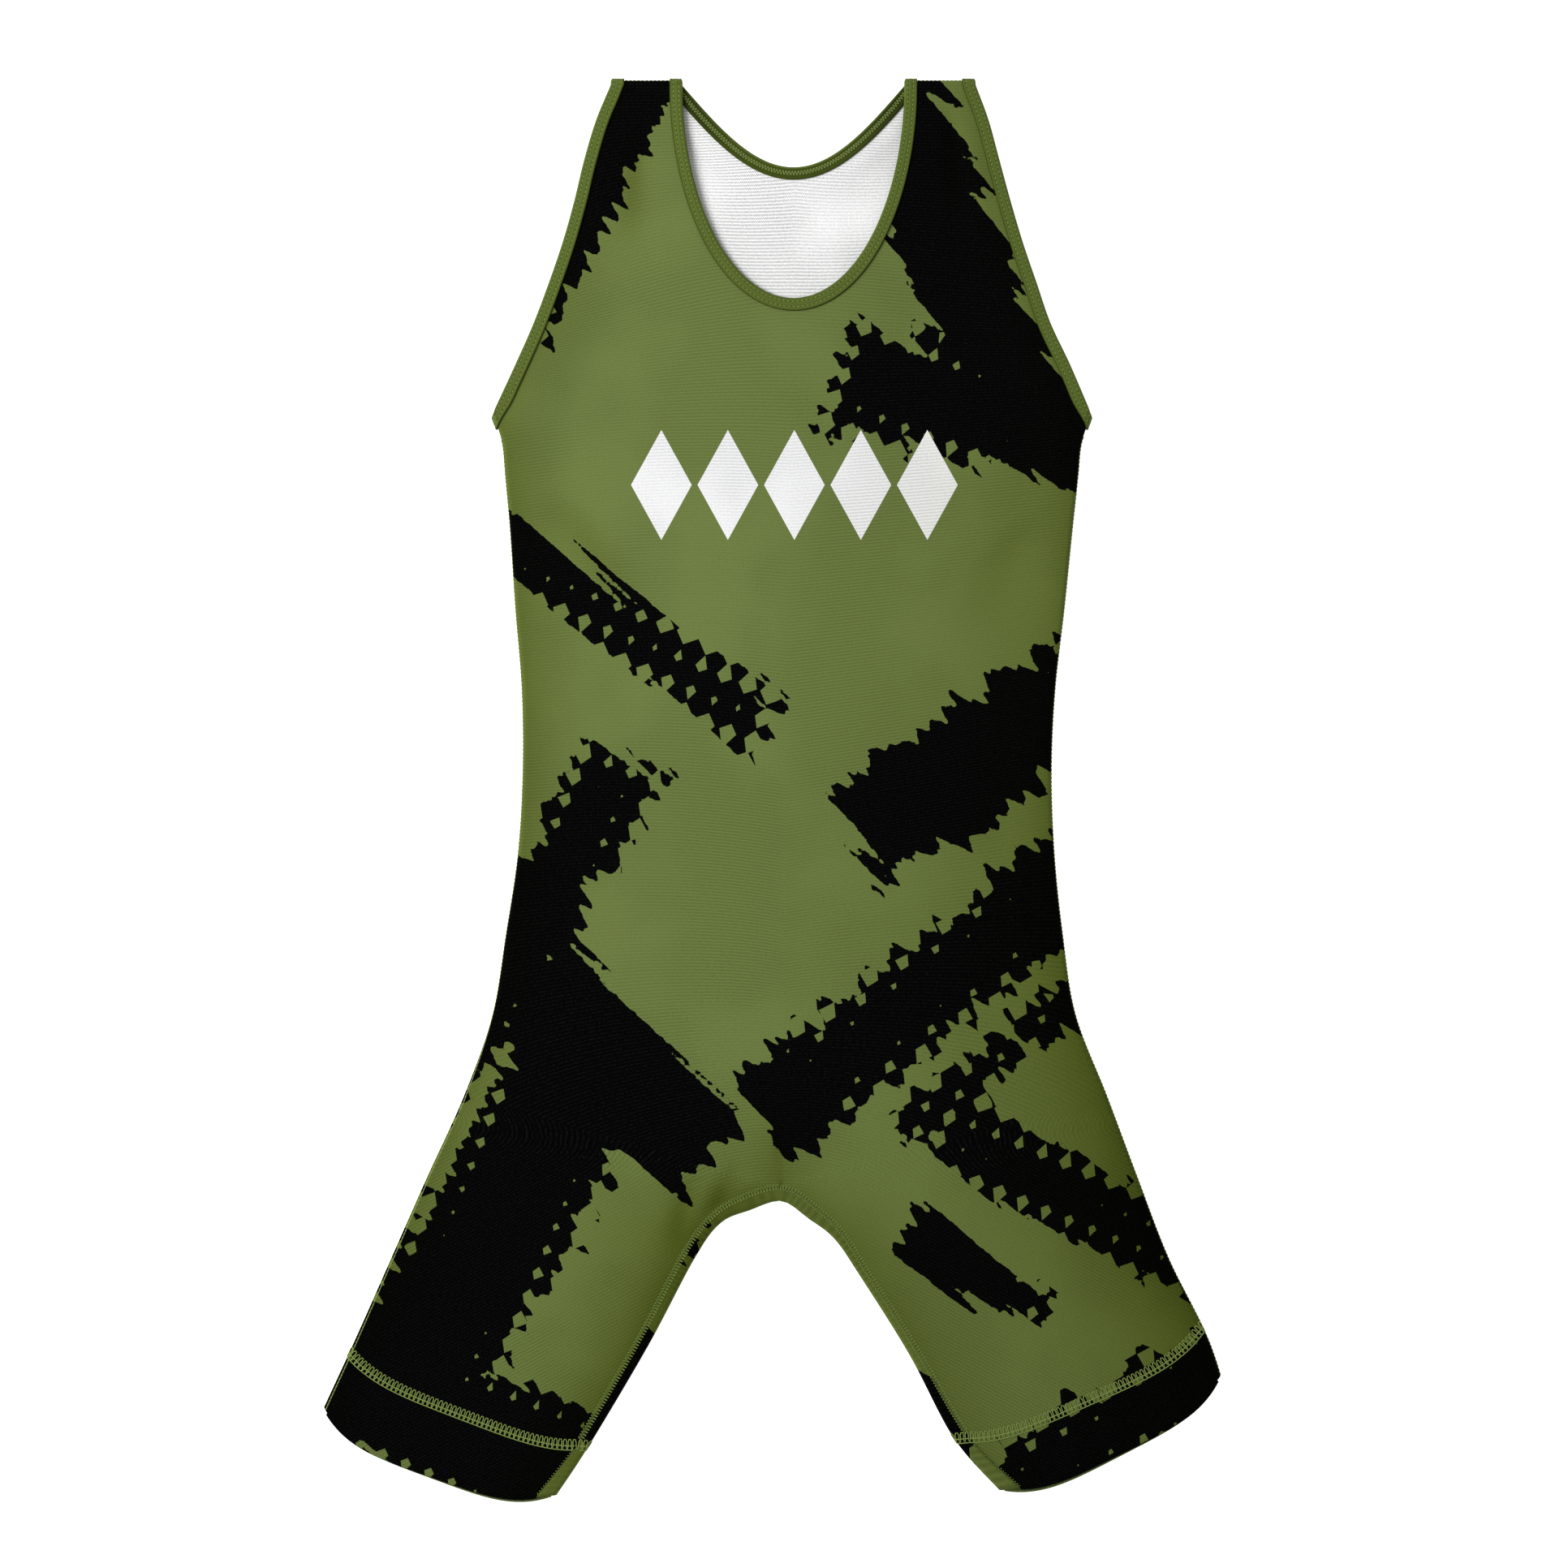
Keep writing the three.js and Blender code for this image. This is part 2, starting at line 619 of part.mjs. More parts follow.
// The cross-section of a binding: a folded strip with a slot for the cloth, open at the far side. Each
// point is its share of the way across the binding and its height over the binding's middle.
function bindingProfile() {
  const half = BINDING_HALF_THICKNESS;
  const slot = BINDING_SLOT_HALF;
  const outer = [
    { over: BINDING_WIDTH, up: half - BINDING_EDGE_BEVEL.up },
    { over: BINDING_WIDTH - BINDING_EDGE_BEVEL.over, up: half },
    { over: BINDING_NOSE, up: half },
    BINDING_NOSE_BEND,
  ];
  const inner = outer.map(({ over, up }) => ({ over, up: -up })).reverse();
  return [
    ...outer,
    { over: 0, up: 0 },
    ...inner,
    { over: BINDING_WIDTH, up: -slot },
    { over: BINDING_SLOT_BOTTOM, up: -slot },
    { over: BINDING_SLOT_BOTTOM, up: slot },
    { over: BINDING_WIDTH, up: slot },
  ];
}

// A binding is a closed loop of stations. A station has its edge point, the direction across, the
// direction that a fold faces, the height of the fold and the angle that the strip has turned through.
function bindingGeometry(stations, mirrored) {
  const profile = bindingProfile();
  const position = [];
  for (const { at, across, out, fold, angle, slip } of stations) {
    const base = at.clone();
    if (slip) base.addScaledVector(slip, Math.sin(angle));
    const unit = across.length() / BINDING_WIDTH;
    const direction = across.clone().normalize();
    for (const { over, up } of profile) {
      const reach = (fold.radius + up) * Math.sin(angle);
      const point = base.clone().addScaledVector(direction, over * unit).addScaledVector(out, reach);
      position.push(point.x, point.y, fold.centre + (fold.radius + up) * Math.cos(angle));
    }
  }
  const index = [];
  const size = profile.length;
  for (let i = 0; i < stations.length; i += 1) {
    const next = (i + 1) % stations.length;
    for (let j = 0; j < size; j += 1) {
      const a = i * size + j;
      const b = i * size + ((j + 1) % size);
      const c = next * size + ((j + 1) % size);
      const d = next * size + j;
      if (mirrored) index.push(a, b, c, a, c, d);
      else index.push(a, c, b, a, d, c);
    }
  }
  return indexedGeometry(position, index);
}

// The stations round a fold, without its first and last, which belong to the flat runs.
function turnStations(edge, out, fold, fromFront, slip) {
  const stations = [];
  for (let k = 1; k < TURN_STEPS; k += 1) {
    const angle = (Math.PI * (fromFront ? k : TURN_STEPS - k)) / TURN_STEPS;
    stations.push({ ...edge, out, fold, angle, slip });
  }
  return stations;
}

// An armhole's loop: up the front, over the shoulder, down the back and round the underarm.
function armholeStations(side) {
  const fold = foldAt(4, "side");
  const up = new THREE.Vector2(0, 1);
  const flatRun = (angle) => {
    const stations = [];
    for (let k = 0; k <= ARMHOLE_STEPS; k += 1) {
      const t = k / ARMHOLE_STEPS;
      const y = mix(UNDERARM_Y, SHOULDER_FOLD_Y, t);
      stations.push({ ...armholeEdge(side, y), out: up, fold, angle });
    }
    return stations;
  };
  const front = flatRun(0);
  const back = flatRun(Math.PI).reverse();
  const underarm = armholeEdge(side, UNDERARM_Y);
  const slip = underarmAcross(side).multiplyScalar(UNDERARM_SLIP);
  return [
    ...front,
    ...turnStations(armholeEdge(side, SHOULDER_FOLD_Y), up, fold, true, null),
    ...back,
    ...turnStations(underarm, underarmOut(side), fold, false, slip),
  ];
}

// The neck's loop: the front from left to right, a shoulder, the back from right to left, a shoulder.
function neckStations() {
  const shoulder = foldAt(4, "inner");
  const up = new THREE.Vector2(0, 1);
  const flatRun = (panel) => {
    const table = panel === "front" ? FRONT_HEIGHT : BACK_HEIGHT;
    const angle = panel === "front" ? 0 : Math.PI;
    const steps = NECK_STEPS[panel];
    const stations = [];
    for (let k = -steps; k <= steps; k += 1) {
      const side = k < 0 ? "left" : "right";
      const t = Math.abs(k) / steps;
      const height = heights(table, 3 + t).inner;
      const fold = { radius: shoulder.radius, centre: height - Math.cos(angle) * shoulder.radius };
      stations.push({ ...neckEdge(panel, side, t), out: up, fold, angle });
    }
    return stations;
  };
  return [
    ...flatRun("front"),
    ...turnStations(neckEdge("front", "right", 1), up, shoulder, true, null),
    ...flatRun("back").reverse(),
    ...turnStations(neckEdge("front", "left", 1), up, shoulder, false, null),
  ];
}

const PRINT_CLOTH = new THREE.MeshStandardMaterial({ color: PRINT_GREEN, roughness: 0.78, metalness: 0 });
const BINDING_CLOTH = new THREE.MeshStandardMaterial({ color: BINDING_GREEN, roughness: 0.7, metalness: 0 });

function piece(name, geometry, material) {
  const mesh = new THREE.Mesh(geometry, material);
  mesh.name = name;
  return mesh;
}

const singlet = new THREE.Group();
singlet.add(piece("back_panel", panelGeometry("back"), PRINT_CLOTH));
singlet.add(piece("front_panel", panelGeometry("front"), PRINT_CLOTH));
singlet.add(piece("neck_binding", bindingGeometry(neckStations(), false), BINDING_CLOTH));
singlet.add(piece("armhole_binding_left", bindingGeometry(armholeStations("left"), false), BINDING_CLOTH));
singlet.add(piece("armhole_binding_right", bindingGeometry(armholeStations("right"), true), BINDING_CLOTH));

// The origin goes to the middle of the garment's footprint, on the floor.
const extent = new THREE.Box3().setFromObject(singlet);
const middle = extent.getCenter(new THREE.Vector3());
singlet.position.set(-middle.x, -middle.y, -extent.min.z);

export default singlet;
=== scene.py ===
"""A sleeveless one-piece wrestling singlet in printed stretch knit, laid flat on a pale floor."""
import logging
import math
from dataclasses import dataclass
from enum import Enum
from typing import NamedTuple, Optional, Union

import bpy
import numpy as np
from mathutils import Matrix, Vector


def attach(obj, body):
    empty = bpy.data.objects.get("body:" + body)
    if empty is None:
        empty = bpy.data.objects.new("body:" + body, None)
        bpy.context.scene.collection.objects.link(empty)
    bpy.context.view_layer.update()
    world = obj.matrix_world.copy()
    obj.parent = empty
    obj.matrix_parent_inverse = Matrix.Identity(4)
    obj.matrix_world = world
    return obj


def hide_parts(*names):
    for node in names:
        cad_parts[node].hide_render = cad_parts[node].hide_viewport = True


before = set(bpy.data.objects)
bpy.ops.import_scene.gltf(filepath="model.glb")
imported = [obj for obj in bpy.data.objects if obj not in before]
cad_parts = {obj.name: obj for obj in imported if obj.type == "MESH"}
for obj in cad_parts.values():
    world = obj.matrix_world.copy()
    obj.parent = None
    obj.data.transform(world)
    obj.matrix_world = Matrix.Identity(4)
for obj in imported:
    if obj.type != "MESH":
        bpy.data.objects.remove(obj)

LOG = logging.getLogger("singlet")
MM = 0.001
PLAN_ORIGIN = np.array([-8.07, 385.704])

# The stations along the garment. The hem is at 0.
CROTCH = 1
UNDERARM = 2
NECK_FOOT = 3
SHOULDER = 4

UP = np.array([0.0, 1.0])

Colour = tuple[float, float, float]
Socket = bpy.types.NodeSocket
Value = Union[float, Socket]


class Side(Enum):
    """The half of the garment, as it lies on the floor."""

    LEFT = -1
    RIGHT = 1


class Layer(Enum):
    """The two cut pieces of the body."""

    FRONT = "front"
    BACK = "back"


class Outline(NamedTuple):
    """One level of the outline, in plan millimetres."""

    y: float
    left: float
    right: float


class LegSection(NamedTuple):
    """A section across a leg: its height at the side seam, its point on the inner edge and its form."""

    side: float
    x: float
    y: float
    strip: float
    bow: float
    rows: int


class BodySection(NamedTuple):
    """A section across the body, by its heights at the side seam and on the centre line."""

    side: float
    centre: float
    rows: int


class Height(NamedTuple):
    """Heights of the middle of the cloth above the floor, at a station along the garment."""

    station: float
    side: float
    middle: float
    inner: float


class Crease(NamedTuple):
    """A soft trough or ridge pressed into the cloth between two plan points."""

    from_x: float
    from_y: float
    to_x: float
    to_y: float
    width: float
    lift: float
    bend: float


SIDE_SEAM = (
    Outline(50, -251.5, 240),
    Outline(88, -234, 228),
    Outline(132, -214.5, 206.5),
    Outline(176, -195, 189.5),
    Outline(220, -175, 173),
    Outline(264, -159.5, 156),
    Outline(308, -152, 149),
    Outline(352, -145.5, 144.5),
    Outline(396, -143, 143),
    Outline(440, -143.5, 145),
    Outline(484, -147, 150),
    Outline(528, -150, 154.5),
    Outline(556, -152.5, 157.5),
    Outline(572, -153.9, 159),
    Outline(581, -156.5, 161.8),
    Outline(590, -159.8, 165),
)
ARMHOLE = (
    Outline(592, -158.1, 163.3),
    Outline(616, -147, 153),
    Outline(638, -137.3, 142.6),
    Outline(660, -129, 135),
    Outline(682, -121.5, 127.5),
    Outline(704, -115.3, 121),
    Outline(726, -110, 115),
    Outline(748, -103.4, 109),
    Outline(767, -95.5, 102),
)
LEG = {
    Side.LEFT: (
        LegSection(52, -124.5, 4.5, 10, 15.5, 9),
        LegSection(82, -107, 31, 6, 10, 14),
        LegSection(131, -75, 85, 6, 4, 12),
        LegSection(174, -50, 132, 6, 0, 6),
        LegSection(196, -36, 151, 5.5, 0, 5),
        LegSection(209, -20, 158, 8, 0, 4),
        LegSection(220, -4, 163, 7.5, 0, 0),
    ),
    Side.RIGHT: (
        LegSection(69, 114.5, 7, 11, 14, 9),
        LegSection(96, 90, 35, 8, 12, 14),
        LegSection(136, 66, 80, 5, 4, 12),
        LegSection(176, 39, 123, 4.5, 0, 6),
        LegSection(197, 25.5, 142.5, 5.5, 0, 5),
        LegSection(209, 12, 153, 7.5, 0, 4),
        LegSection(220, -4, 163, 7.5, 0, 0),
    ),
}
BODY = (
    BodySection(220, 0, 40),
    BodySection(396, 372, 34),
    BodySection(556, 546, 8),
    BodySection(590, 580, 0),
)
HEIGHTS = {
    Layer.FRONT: (
        Height(0, 5.1, 5.1, 5.1),
        Height(0.167, 5.1, 5.1, 5.1),
        Height(0.3, 4.4, 3.2, 4.4),
        Height(1, 4.4, 3.1, 4.4),
        Height(1.12, 4.4, 2.9, 3.4),
        Height(1.3, 4.4, 2.8, 2.8),
        Height(1.84, 4.4, 2.8, 2.8),
        Height(1.955, 5.7, 2.8, 2.8),
        Height(2, 5.7, 2.8, 2.8),
        Height(2.01, 5.7, 2.8, 3.3),
        Height(3, 5.7, 3.2, 3.3),
        Height(3.45, 5.7, 3.6, 3.6),
        Height(3.8, 5.7, 4.4, 5.7),
        Height(4, 5.7, 5.7, 5.7),
    ),
    Layer.BACK: (
        Height(0, 0.6, 0.6, 0.6),
        Height(1.84, 0.6, 0.6, 0.6),
        Height(1.955, 1.8, 0.6, 0.6),
        Height(2, 1.8, 0.6, 0.6),
        Height(2.01, 1.8, 0.6, 1.8),
        Height(3.7, 1.8, 0.6, 1.8),
        Height(4, 1.8, 1.8, 1.8),
    ),
}
FRONT_CREASES = (
    Crease(-28, 186, -42, 140, 6, -1.1, -3),
    Crease(-36, 188, -52, 138, 6, 0.6, -4),
    Crease(-44, 186, -62, 130, 6, -1.0, -4),
    Crease(-5, 206, -4, 184, 2.4, -0.7, 0),
    Crease(22, 182, 44, 140, 9, 0.5, 3),
    Crease(8, 188, 16, 300, 16, 0.5, 3),
    Crease(-22, 196, -60, 330, 22, 0.5, -6),
    Crease(-130, 250, -60, 205, 14, 0.5, 5),
    Crease(132, 246, 62, 200, 15, 0.5, -5),
    Crease(-128, 570, -70, 520, 14, 0.7, 6),
    Crease(-134, 548, -84, 480, 12, -0.5, 5),
    Crease(136, 566, 80, 512, 15, 0.7, -6),
    Crease(138, 540, 96, 470, 12, -0.4, -4),
    Crease(84, 758, 92, 690, 4.5, -0.9, 2),
    Crease(94, 756, 104, 676, 5.5, 0.7, 3),
    Crease(-78, 752, -84, 680, 6, -0.7, -2),
    Crease(-70, 700, -62, 640, 8, 0.4, 2),
    Crease(206, 84, 222, 60, 4, -0.7, 1),
    Crease(213, 88, 232, 62, 4.5, 0.6, 1),
    Crease(-216, 120, -236, 62, 5, 0.6, -2),
    Crease(-190, 190, -150, 120, 16, 0.5, 6),
    Crease(176, 180, 128, 110, 18, 0.5, -6),
    Crease(-104, 118, -126, 40, 10, 0.5, 3),
    Crease(82, 112, 108, 44, 10, 0.5, -3),
    Crease(-118, 420, -30, 436, 24, 0.4, -6),
    Crease(112, 388, 20, 372, 26, 0.4, 6),
)
BACK_CREASES = (
    Crease(-24, 690, 8, 668, 9, 0.6, 3),
    Crease(34, 712, 24, 672, 8, 0.5, -2),
)


def mix(a: float, b: float, t: float) -> float:
    """Returns the value a share t of the way from a to b."""
    return a + (b - a) * t


def ease(low: float, high: float, value: Union[float, np.ndarray]) -> Union[float, np.ndarray]:
    """Returns 0 below low, 1 above high and a smooth step between."""
    t = np.clip((value - low) / (high - low), 0.0, 1.0)
    return t * t * (3.0 - 2.0 * t)


def unit(vector: np.ndarray) -> np.ndarray:
    """Returns the vector at length one."""
    return vector / np.linalg.norm(vector)


def hermite(a: float, b: float, slope_a: float, slope_b: float, t: float) -> float:
    """Returns the cubic between a and b with the given end slopes, at the share t."""
    t2 = t * t
    t3 = t2 * t
    level = mix(a, b, 3 * t2 - 2 * t3)
    return level + slope_a * (t3 - 2 * t2 + t) + slope_b * (t3 - t2)


def read_outline(table: tuple[Outline, ...], side: Side, y: float) -> float:
    """Reads an outline's x at a height, smoothly between its rows.

    Args:
        table: The outline's rows, from the lowest up.
        side: The half of the garment.
        y: The plan height.

    Returns:
        The plan x there.
    """
    ys = [row.y for row in table]
    xs = [row.left if side is Side.LEFT else row.right for row in table]
    i = int(np.clip(np.searchsorted(ys, y) - 1, 0, len(ys) - 2))
    span = ys[i + 1] - ys[i]
    first, last = max(i - 1, 0), min(i + 2, len(ys) - 1)
    slope_a = (xs[i + 1] - xs[first]) / (ys[i + 1] - ys[first])
    slope_b = (xs[last] - xs[i]) / (ys[last] - ys[i])
    return hermite(xs[i], xs[i + 1], slope_a * span, slope_b * span, (y - ys[i]) / span)


@dataclass
class Fold:
    """A fold that joins front and back: the half height and the height of its middle."""

    radius: float
    centre: float


@dataclass
class Section:
    """A section across one half of a panel, from the side to the middle of the garment."""

    station: float
    flat: np.ndarray
    inner_flat: np.ndarray
    out: Optional[np.ndarray] = None
    slip: Optional[np.ndarray] = None


@dataclass
class LegSlice(Section):
    """A section across a leg, which sags toward the hem between the leg's two outlines."""

    bow: float = 0.0
    inner_out: Optional[np.ndarray] = None
    strip: float = 0.0
    outline: Optional[np.ndarray] = None
    inner_outline: Optional[np.ndarray] = None


@dataclass(frozen=True)
class Cut:
    """The garment's cut and how it lies, in plan millimetres."""

    cloth: float = 1.2
    seam_gap: float = 0.3
    crotch_x: float = -4.0
    crotch_y: float = 163.0
    shoulder_y: float = 767.0
    neck_centre: float = 3.4
    neck_half_width: float = 60.0
    front_neck_depth: float = 115.0
    back_neck_depth: float = 44.0
    front_neck_row: float = 640.0
    back_neck_row: float = 708.0
    underarm_y: float = 592.0
    underarm_centre_y: float = 580.0
    underarm_lean: float = math.radians(20.7)
    underarm_fold: float = 7.9
    underarm_slip: float = 3.3
    shoulder_fold: float = 7.4
    binding_width: float = 7.0
    edge_in_slot: float = 2.1
    across_blend: float = 14.0

    def heights(self, layer: Layer, station: float) -> Height:
        """Reads the heights of the cloth at a station, with straight lines between the rows."""
        table = HEIGHTS[layer]
        stations = [row.station for row in table]
        levels = (np.interp(station, stations, [row[k] for row in table]) for k in (1, 2, 3))
        return Height(station, *(float(level) for level in levels))

    def side_fold(self, station: float) -> Fold:
        """Returns the fold along the side seam at a station."""
        front, back = self.heights(Layer.FRONT, station), self.heights(Layer.BACK, station)
        return Fold((front.side - back.side) / 2, (front.side + back.side) / 2)

    def inner_fold(self, station: float) -> Fold:
        """Returns the fold at the inner end of a section."""
        front, back = self.heights(Layer.FRONT, station), self.heights(Layer.BACK, station)
        return Fold((front.inner - back.inner) / 2, (front.inner + back.inner) / 2)

    def centre_x(self, y: float) -> float:
        """Returns the garment's centre line at a height."""
        neck_foot = self.shoulder_y - self.front_neck_depth
        return mix(self.crotch_x, self.neck_centre, (y - self.crotch_y) / (neck_foot - self.crotch_y))

    def seam_point(self, side: Side, y: float) -> tuple[np.ndarray, np.ndarray]:
        """Returns a point of the side seam's outline and the direction out of the body there."""
        slope = read_outline(SIDE_SEAM, side, y + 1) - read_outline(SIDE_SEAM, side, y - 1)
        out = unit(np.array([side.value * 2.0, -side.value * slope]))
        return np.array([read_outline(SIDE_SEAM, side, y), y]), out

    def underarm_across(self, side: Side) -> np.ndarray:
        """Returns the direction of the binding's slanted fold at the underarm."""
        return np.array([-side.value * math.sin(self.underarm_lean), -math.cos(self.underarm_lean)])

    def underarm_out(self, side: Side) -> np.ndarray:
        """Returns the direction that the underarm's fold faces."""
        across = self.underarm_across(side)
        return np.array([-side.value * across[1], side.value * across[0]])

    def blend_across(
        self, square: np.ndarray, folded: np.ndarray, length: float, share: float
    ) -> np.ndarray:
        """Turns the direction across a bound edge toward a fold's own, and gives it its length."""
        direction = unit(square + (folded - square) * share)
        return direction * mix(self.binding_width, length, share)

    def armhole_edge(self, side: Side, y: float) -> tuple[np.ndarray, np.ndarray]:
        """Returns the armhole's opening edge and the vector across its binding, into the cloth."""
        slope = read_outline(ARMHOLE, side, y + 1) - read_outline(ARMHOLE, side, y - 1)
        square = unit(np.array([-side.value * 2.0, side.value * slope]))
        at = np.array([read_outline(ARMHOLE, side, y), y])
        near_underarm = 1 - ease(0, self.across_blend, y - self.underarm_y)
        if near_underarm > 0:
            folded = self.underarm_across(side)
            return at, self.blend_across(square, folded, self.underarm_fold, near_underarm)
        near_shoulder = 1 - ease(0, self.across_blend, self.shoulder_y - y)
        level = np.array([-side.value * 1.0, 0.0])
        return at, self.blend_across(square, level, self.shoulder_fold, near_shoulder)

    def neck_edge(self, layer: Layer, side: Side, t: float) -> tuple[np.ndarray, np.ndarray]:
        """Returns the neck's edge from the centre (0) to the shoulder (1), and the way across."""

        def place(u: float) -> np.ndarray:
            quarter = math.pi / 2 * u
            reach = math.sin(quarter) if layer is Layer.FRONT else u
            depth = self.front_neck_depth if layer is Layer.FRONT else self.back_neck_depth
            x = self.neck_centre + side.value * self.neck_half_width * reach
            return np.array([x, self.shoulder_y - depth * math.cos(quarter)])

        at = place(t)
        along = place(t + 0.001) - place(t - 0.001)
        square = unit(np.array([side.value * along[1], -side.value * along[0]]))
        level = np.array([side.value * 1.0, 0.0])
        share = 1 - ease(0, self.across_blend, self.shoulder_y - at[1])
        return at, self.blend_across(square, level, self.binding_width, share)

    def in_slot(self, edge: tuple[np.ndarray, np.ndarray]) -> np.ndarray:
        """Returns where a panel's own edge lies inside a binding."""
        at, across = edge
        return at + unit(across) * self.edge_in_slot


class PanelLayout:
    """The sections of one panel, laid out as closely as its mesh needs them."""

    def __init__(self, cut: Cut, layer: Layer) -> None:
        """Keeps the cut and the layer."""
        self.cut = cut
        self.layer = layer

    def outer_reach(self, station: float) -> float:
        """Returns how far in from the outline the flat stretch of a section starts."""
        return self.cut.side_fold(station).radius + self.cut.cloth / 2

    def leg(self, side: Side) -> list[Section]:
        """Returns the sections of one leg, from the hem to the crotch."""
        table = LEG[side]
        apex, before = table[-1], table[-2]
        mirrored = before._replace(x=2 * apex.x - before.x)
        points = [table[0], *table, mirrored, mirrored]
        sections = []
        for i, row in enumerate(table):
            after = table[min(i + 1, len(table) - 1)]
            for k in range(max(row.rows, 1)):
                t = k / max(row.rows, 1)
                a, b, c, d = points[i:i + 4]
                inner, ahead = (
                    np.array([
                        hermite(b.x, c.x, (c.x - a.x) / 2, (d.x - b.x) / 2, u),
                        hermite(b.y, c.y, (c.y - a.y) / 2, (d.y - b.y) / 2, u),
                    ])
                    for u in (t, t + 0.001)
                )
                along = ahead - inner
                if row is apex:
                    along = np.array([-side.value * 1.0, 0.0])
                inner_out = unit(np.array([-side.value * along[1], side.value * along[0]]))
                station = (i + t) / (len(table) - 1)
                strip = mix(row.strip, after.strip, t)
                if self.layer is Layer.FRONT:
                    inset = strip + self.cut.seam_gap
                else:
                    inset = self.cut.inner_fold(station).radius + self.cut.cloth / 2
                outline, out = self.cut.seam_point(side, mix(row.side, after.side, t))
                sections.append(LegSlice(
                    station=station,
                    flat=outline - out * self.outer_reach(station),
                    inner_flat=inner - inner_out * inset,
                    out=out,
                    bow=mix(row.bow, after.bow, t),
                    inner_out=inner_out,
                    strip=strip,
                    outline=outline,
                    inner_outline=inner,
                ))
        return sections

    def body(self, side: Side, crotch_y: float) -> list[Section]:
        """Returns the sections from above the crotch to the underarm."""
        sections = []
        last = BODY[-1].side
        for i in range(len(BODY) - 1):
            row, after = BODY[i], BODY[i + 1]
            start = crotch_y if i == 0 else row.centre
            for k in range(1, row.rows + 1):
                t = k / row.rows
                side_y, centre_y = mix(row.side, after.side, t), mix(start, after.centre, t)
                station = CROTCH + (side_y - BODY[0].side) / (last - BODY[0].side)
                outline, out = self.cut.seam_point(side, side_y)
                flat = outline - out * self.outer_reach(station)
                near = float(ease(last - self.cut.across_blend, last, side_y))
                if side_y == last:
                    flat = self.cut.in_slot(self.cut.armhole_edge(side, self.cut.underarm_y))
                out = unit(mix(out, self.cut.underarm_out(side), near))
                slip = self.cut.underarm_across(side) * self.cut.underarm_slip * near
                middle = np.array([self.cut.centre_x(centre_y), centre_y])
                sections.append(Section(station, flat, middle, out, slip))
        return sections

    def upper(self, side: Side, chest_rows: int, strap_rows: int) -> list[Section]:
        """Returns the sections from the underarm to the shoulder fold."""
        cut = self.cut
        neck_row = cut.front_neck_row if self.layer is Layer.FRONT else cut.back_neck_row
        foot = cut.in_slot(cut.neck_edge(self.layer, side, 0))
        sections = []
        for k in range(1, chest_rows + 1):
            t = k / chest_rows
            flat = cut.in_slot(cut.armhole_edge(side, mix(cut.underarm_y, neck_row, t)))
            centre_y = mix(cut.underarm_centre_y, foot[1], t)
            middle = foot if k == chest_rows else np.array([cut.centre_x(centre_y), centre_y])
            sections.append(Section(UNDERARM + t, flat, middle))
        for k in range(1, strap_rows + 1):
            t = k / strap_rows
            flat = cut.in_slot(cut.armhole_edge(side, mix(neck_row, cut.shoulder_y, t)))
            inner = cut.in_slot(cut.neck_edge(self.layer, side, t))
            sections.append(Section(NECK_FOOT + t, flat, inner))
        return sections


class Grid(NamedTuple):
    """A grid of points of the cloth's middle, with the knit's lengths and the painted shade at each.

    A guide grid only helps the normals at an open border, and its faces aren't kept.
    """

    points: np.ndarray
    knit: np.ndarray
    guide: bool = False


class Shading(NamedTuple):
    """How much darker painted shade makes the colour toward an edge, and how far in that reaches, in
    millimetres.
    """

    depth: float
    reach: float


# Painted shade toward the outer edges of the front, standing in for the cloth rounding away from the
# light; stronger on the right, away from the lamp.
OUTER_SHADING = {
    Side.LEFT: {
        0.0: Shading(0.28, 14),
        1.0: Shading(0.30, 14),
        4.0: Shading(0.24, 13),
    },
    Side.RIGHT: {
        0.0: Shading(0.58, 54),
        1.0: Shading(0.54, 52),
        1.6: Shading(0.32, 40),
        4.0: Shading(0.20, 24),
    },
}
# Painted shade toward the inner edges of the front's legs, which lie in shade.
INNER_SHADING = {
    Side.LEFT: {
        0.0: Shading(0.36, 20),
        0.55: Shading(0.60, 30),
        1.0: Shading(0.36, 22),
        1.15: Shading(0.0, 16),
    },
    Side.RIGHT: {
        0.0: Shading(0.22, 16),
        0.55: Shading(0.34, 22),
        1.0: Shading(0.28, 18),
        1.15: Shading(0.0, 16),
    },
}


COURSE_LEAN = {
    (Layer.FRONT, Side.LEFT): 18.0,
    (Layer.FRONT, Side.RIGHT): -2.0,
    (Layer.BACK, Side.LEFT): -20.0,
    (Layer.BACK, Side.RIGHT): -20.0,
}


def read_shading(table: dict[float, Shading], station: float) -> Shading:
    """Reads a shading table at a station, with straight lines between its rows."""
    stations = list(table)
    depths = [row.depth for row in table.values()]
    reaches = [row.reach for row in table.values()]
    depth = float(np.interp(station, stations, depths))
    return Shading(depth, float(np.interp(station, stations, reaches)))


def distance_to_line(points: np.ndarray, line: np.ndarray) -> np.ndarray:
    """Returns how far plan points lie from a line of plan points.

    Args:
        points: An array of plan points, n by 2.
        line: The line's corners, m by 2.

    Returns:
        The n shortest distances.
    """
    start, along = line[:-1], np.diff(line, axis=0)
    offset = points[:, None, :] - start[None]
    share = np.clip((offset * along).sum(2) / (along * along).sum(1), 0, 1)
    return np.linalg.norm(offset - share[..., None] * along, axis=2).min(1)


def lengths_along(points: np.ndarray) -> np.ndarray:
    """Returns how far along a line of points each of them lies."""
    steps = np.linalg.norm(np.diff(points, axis=0), axis=1)
    return np.concatenate([[0.0], np.cumsum(steps)])


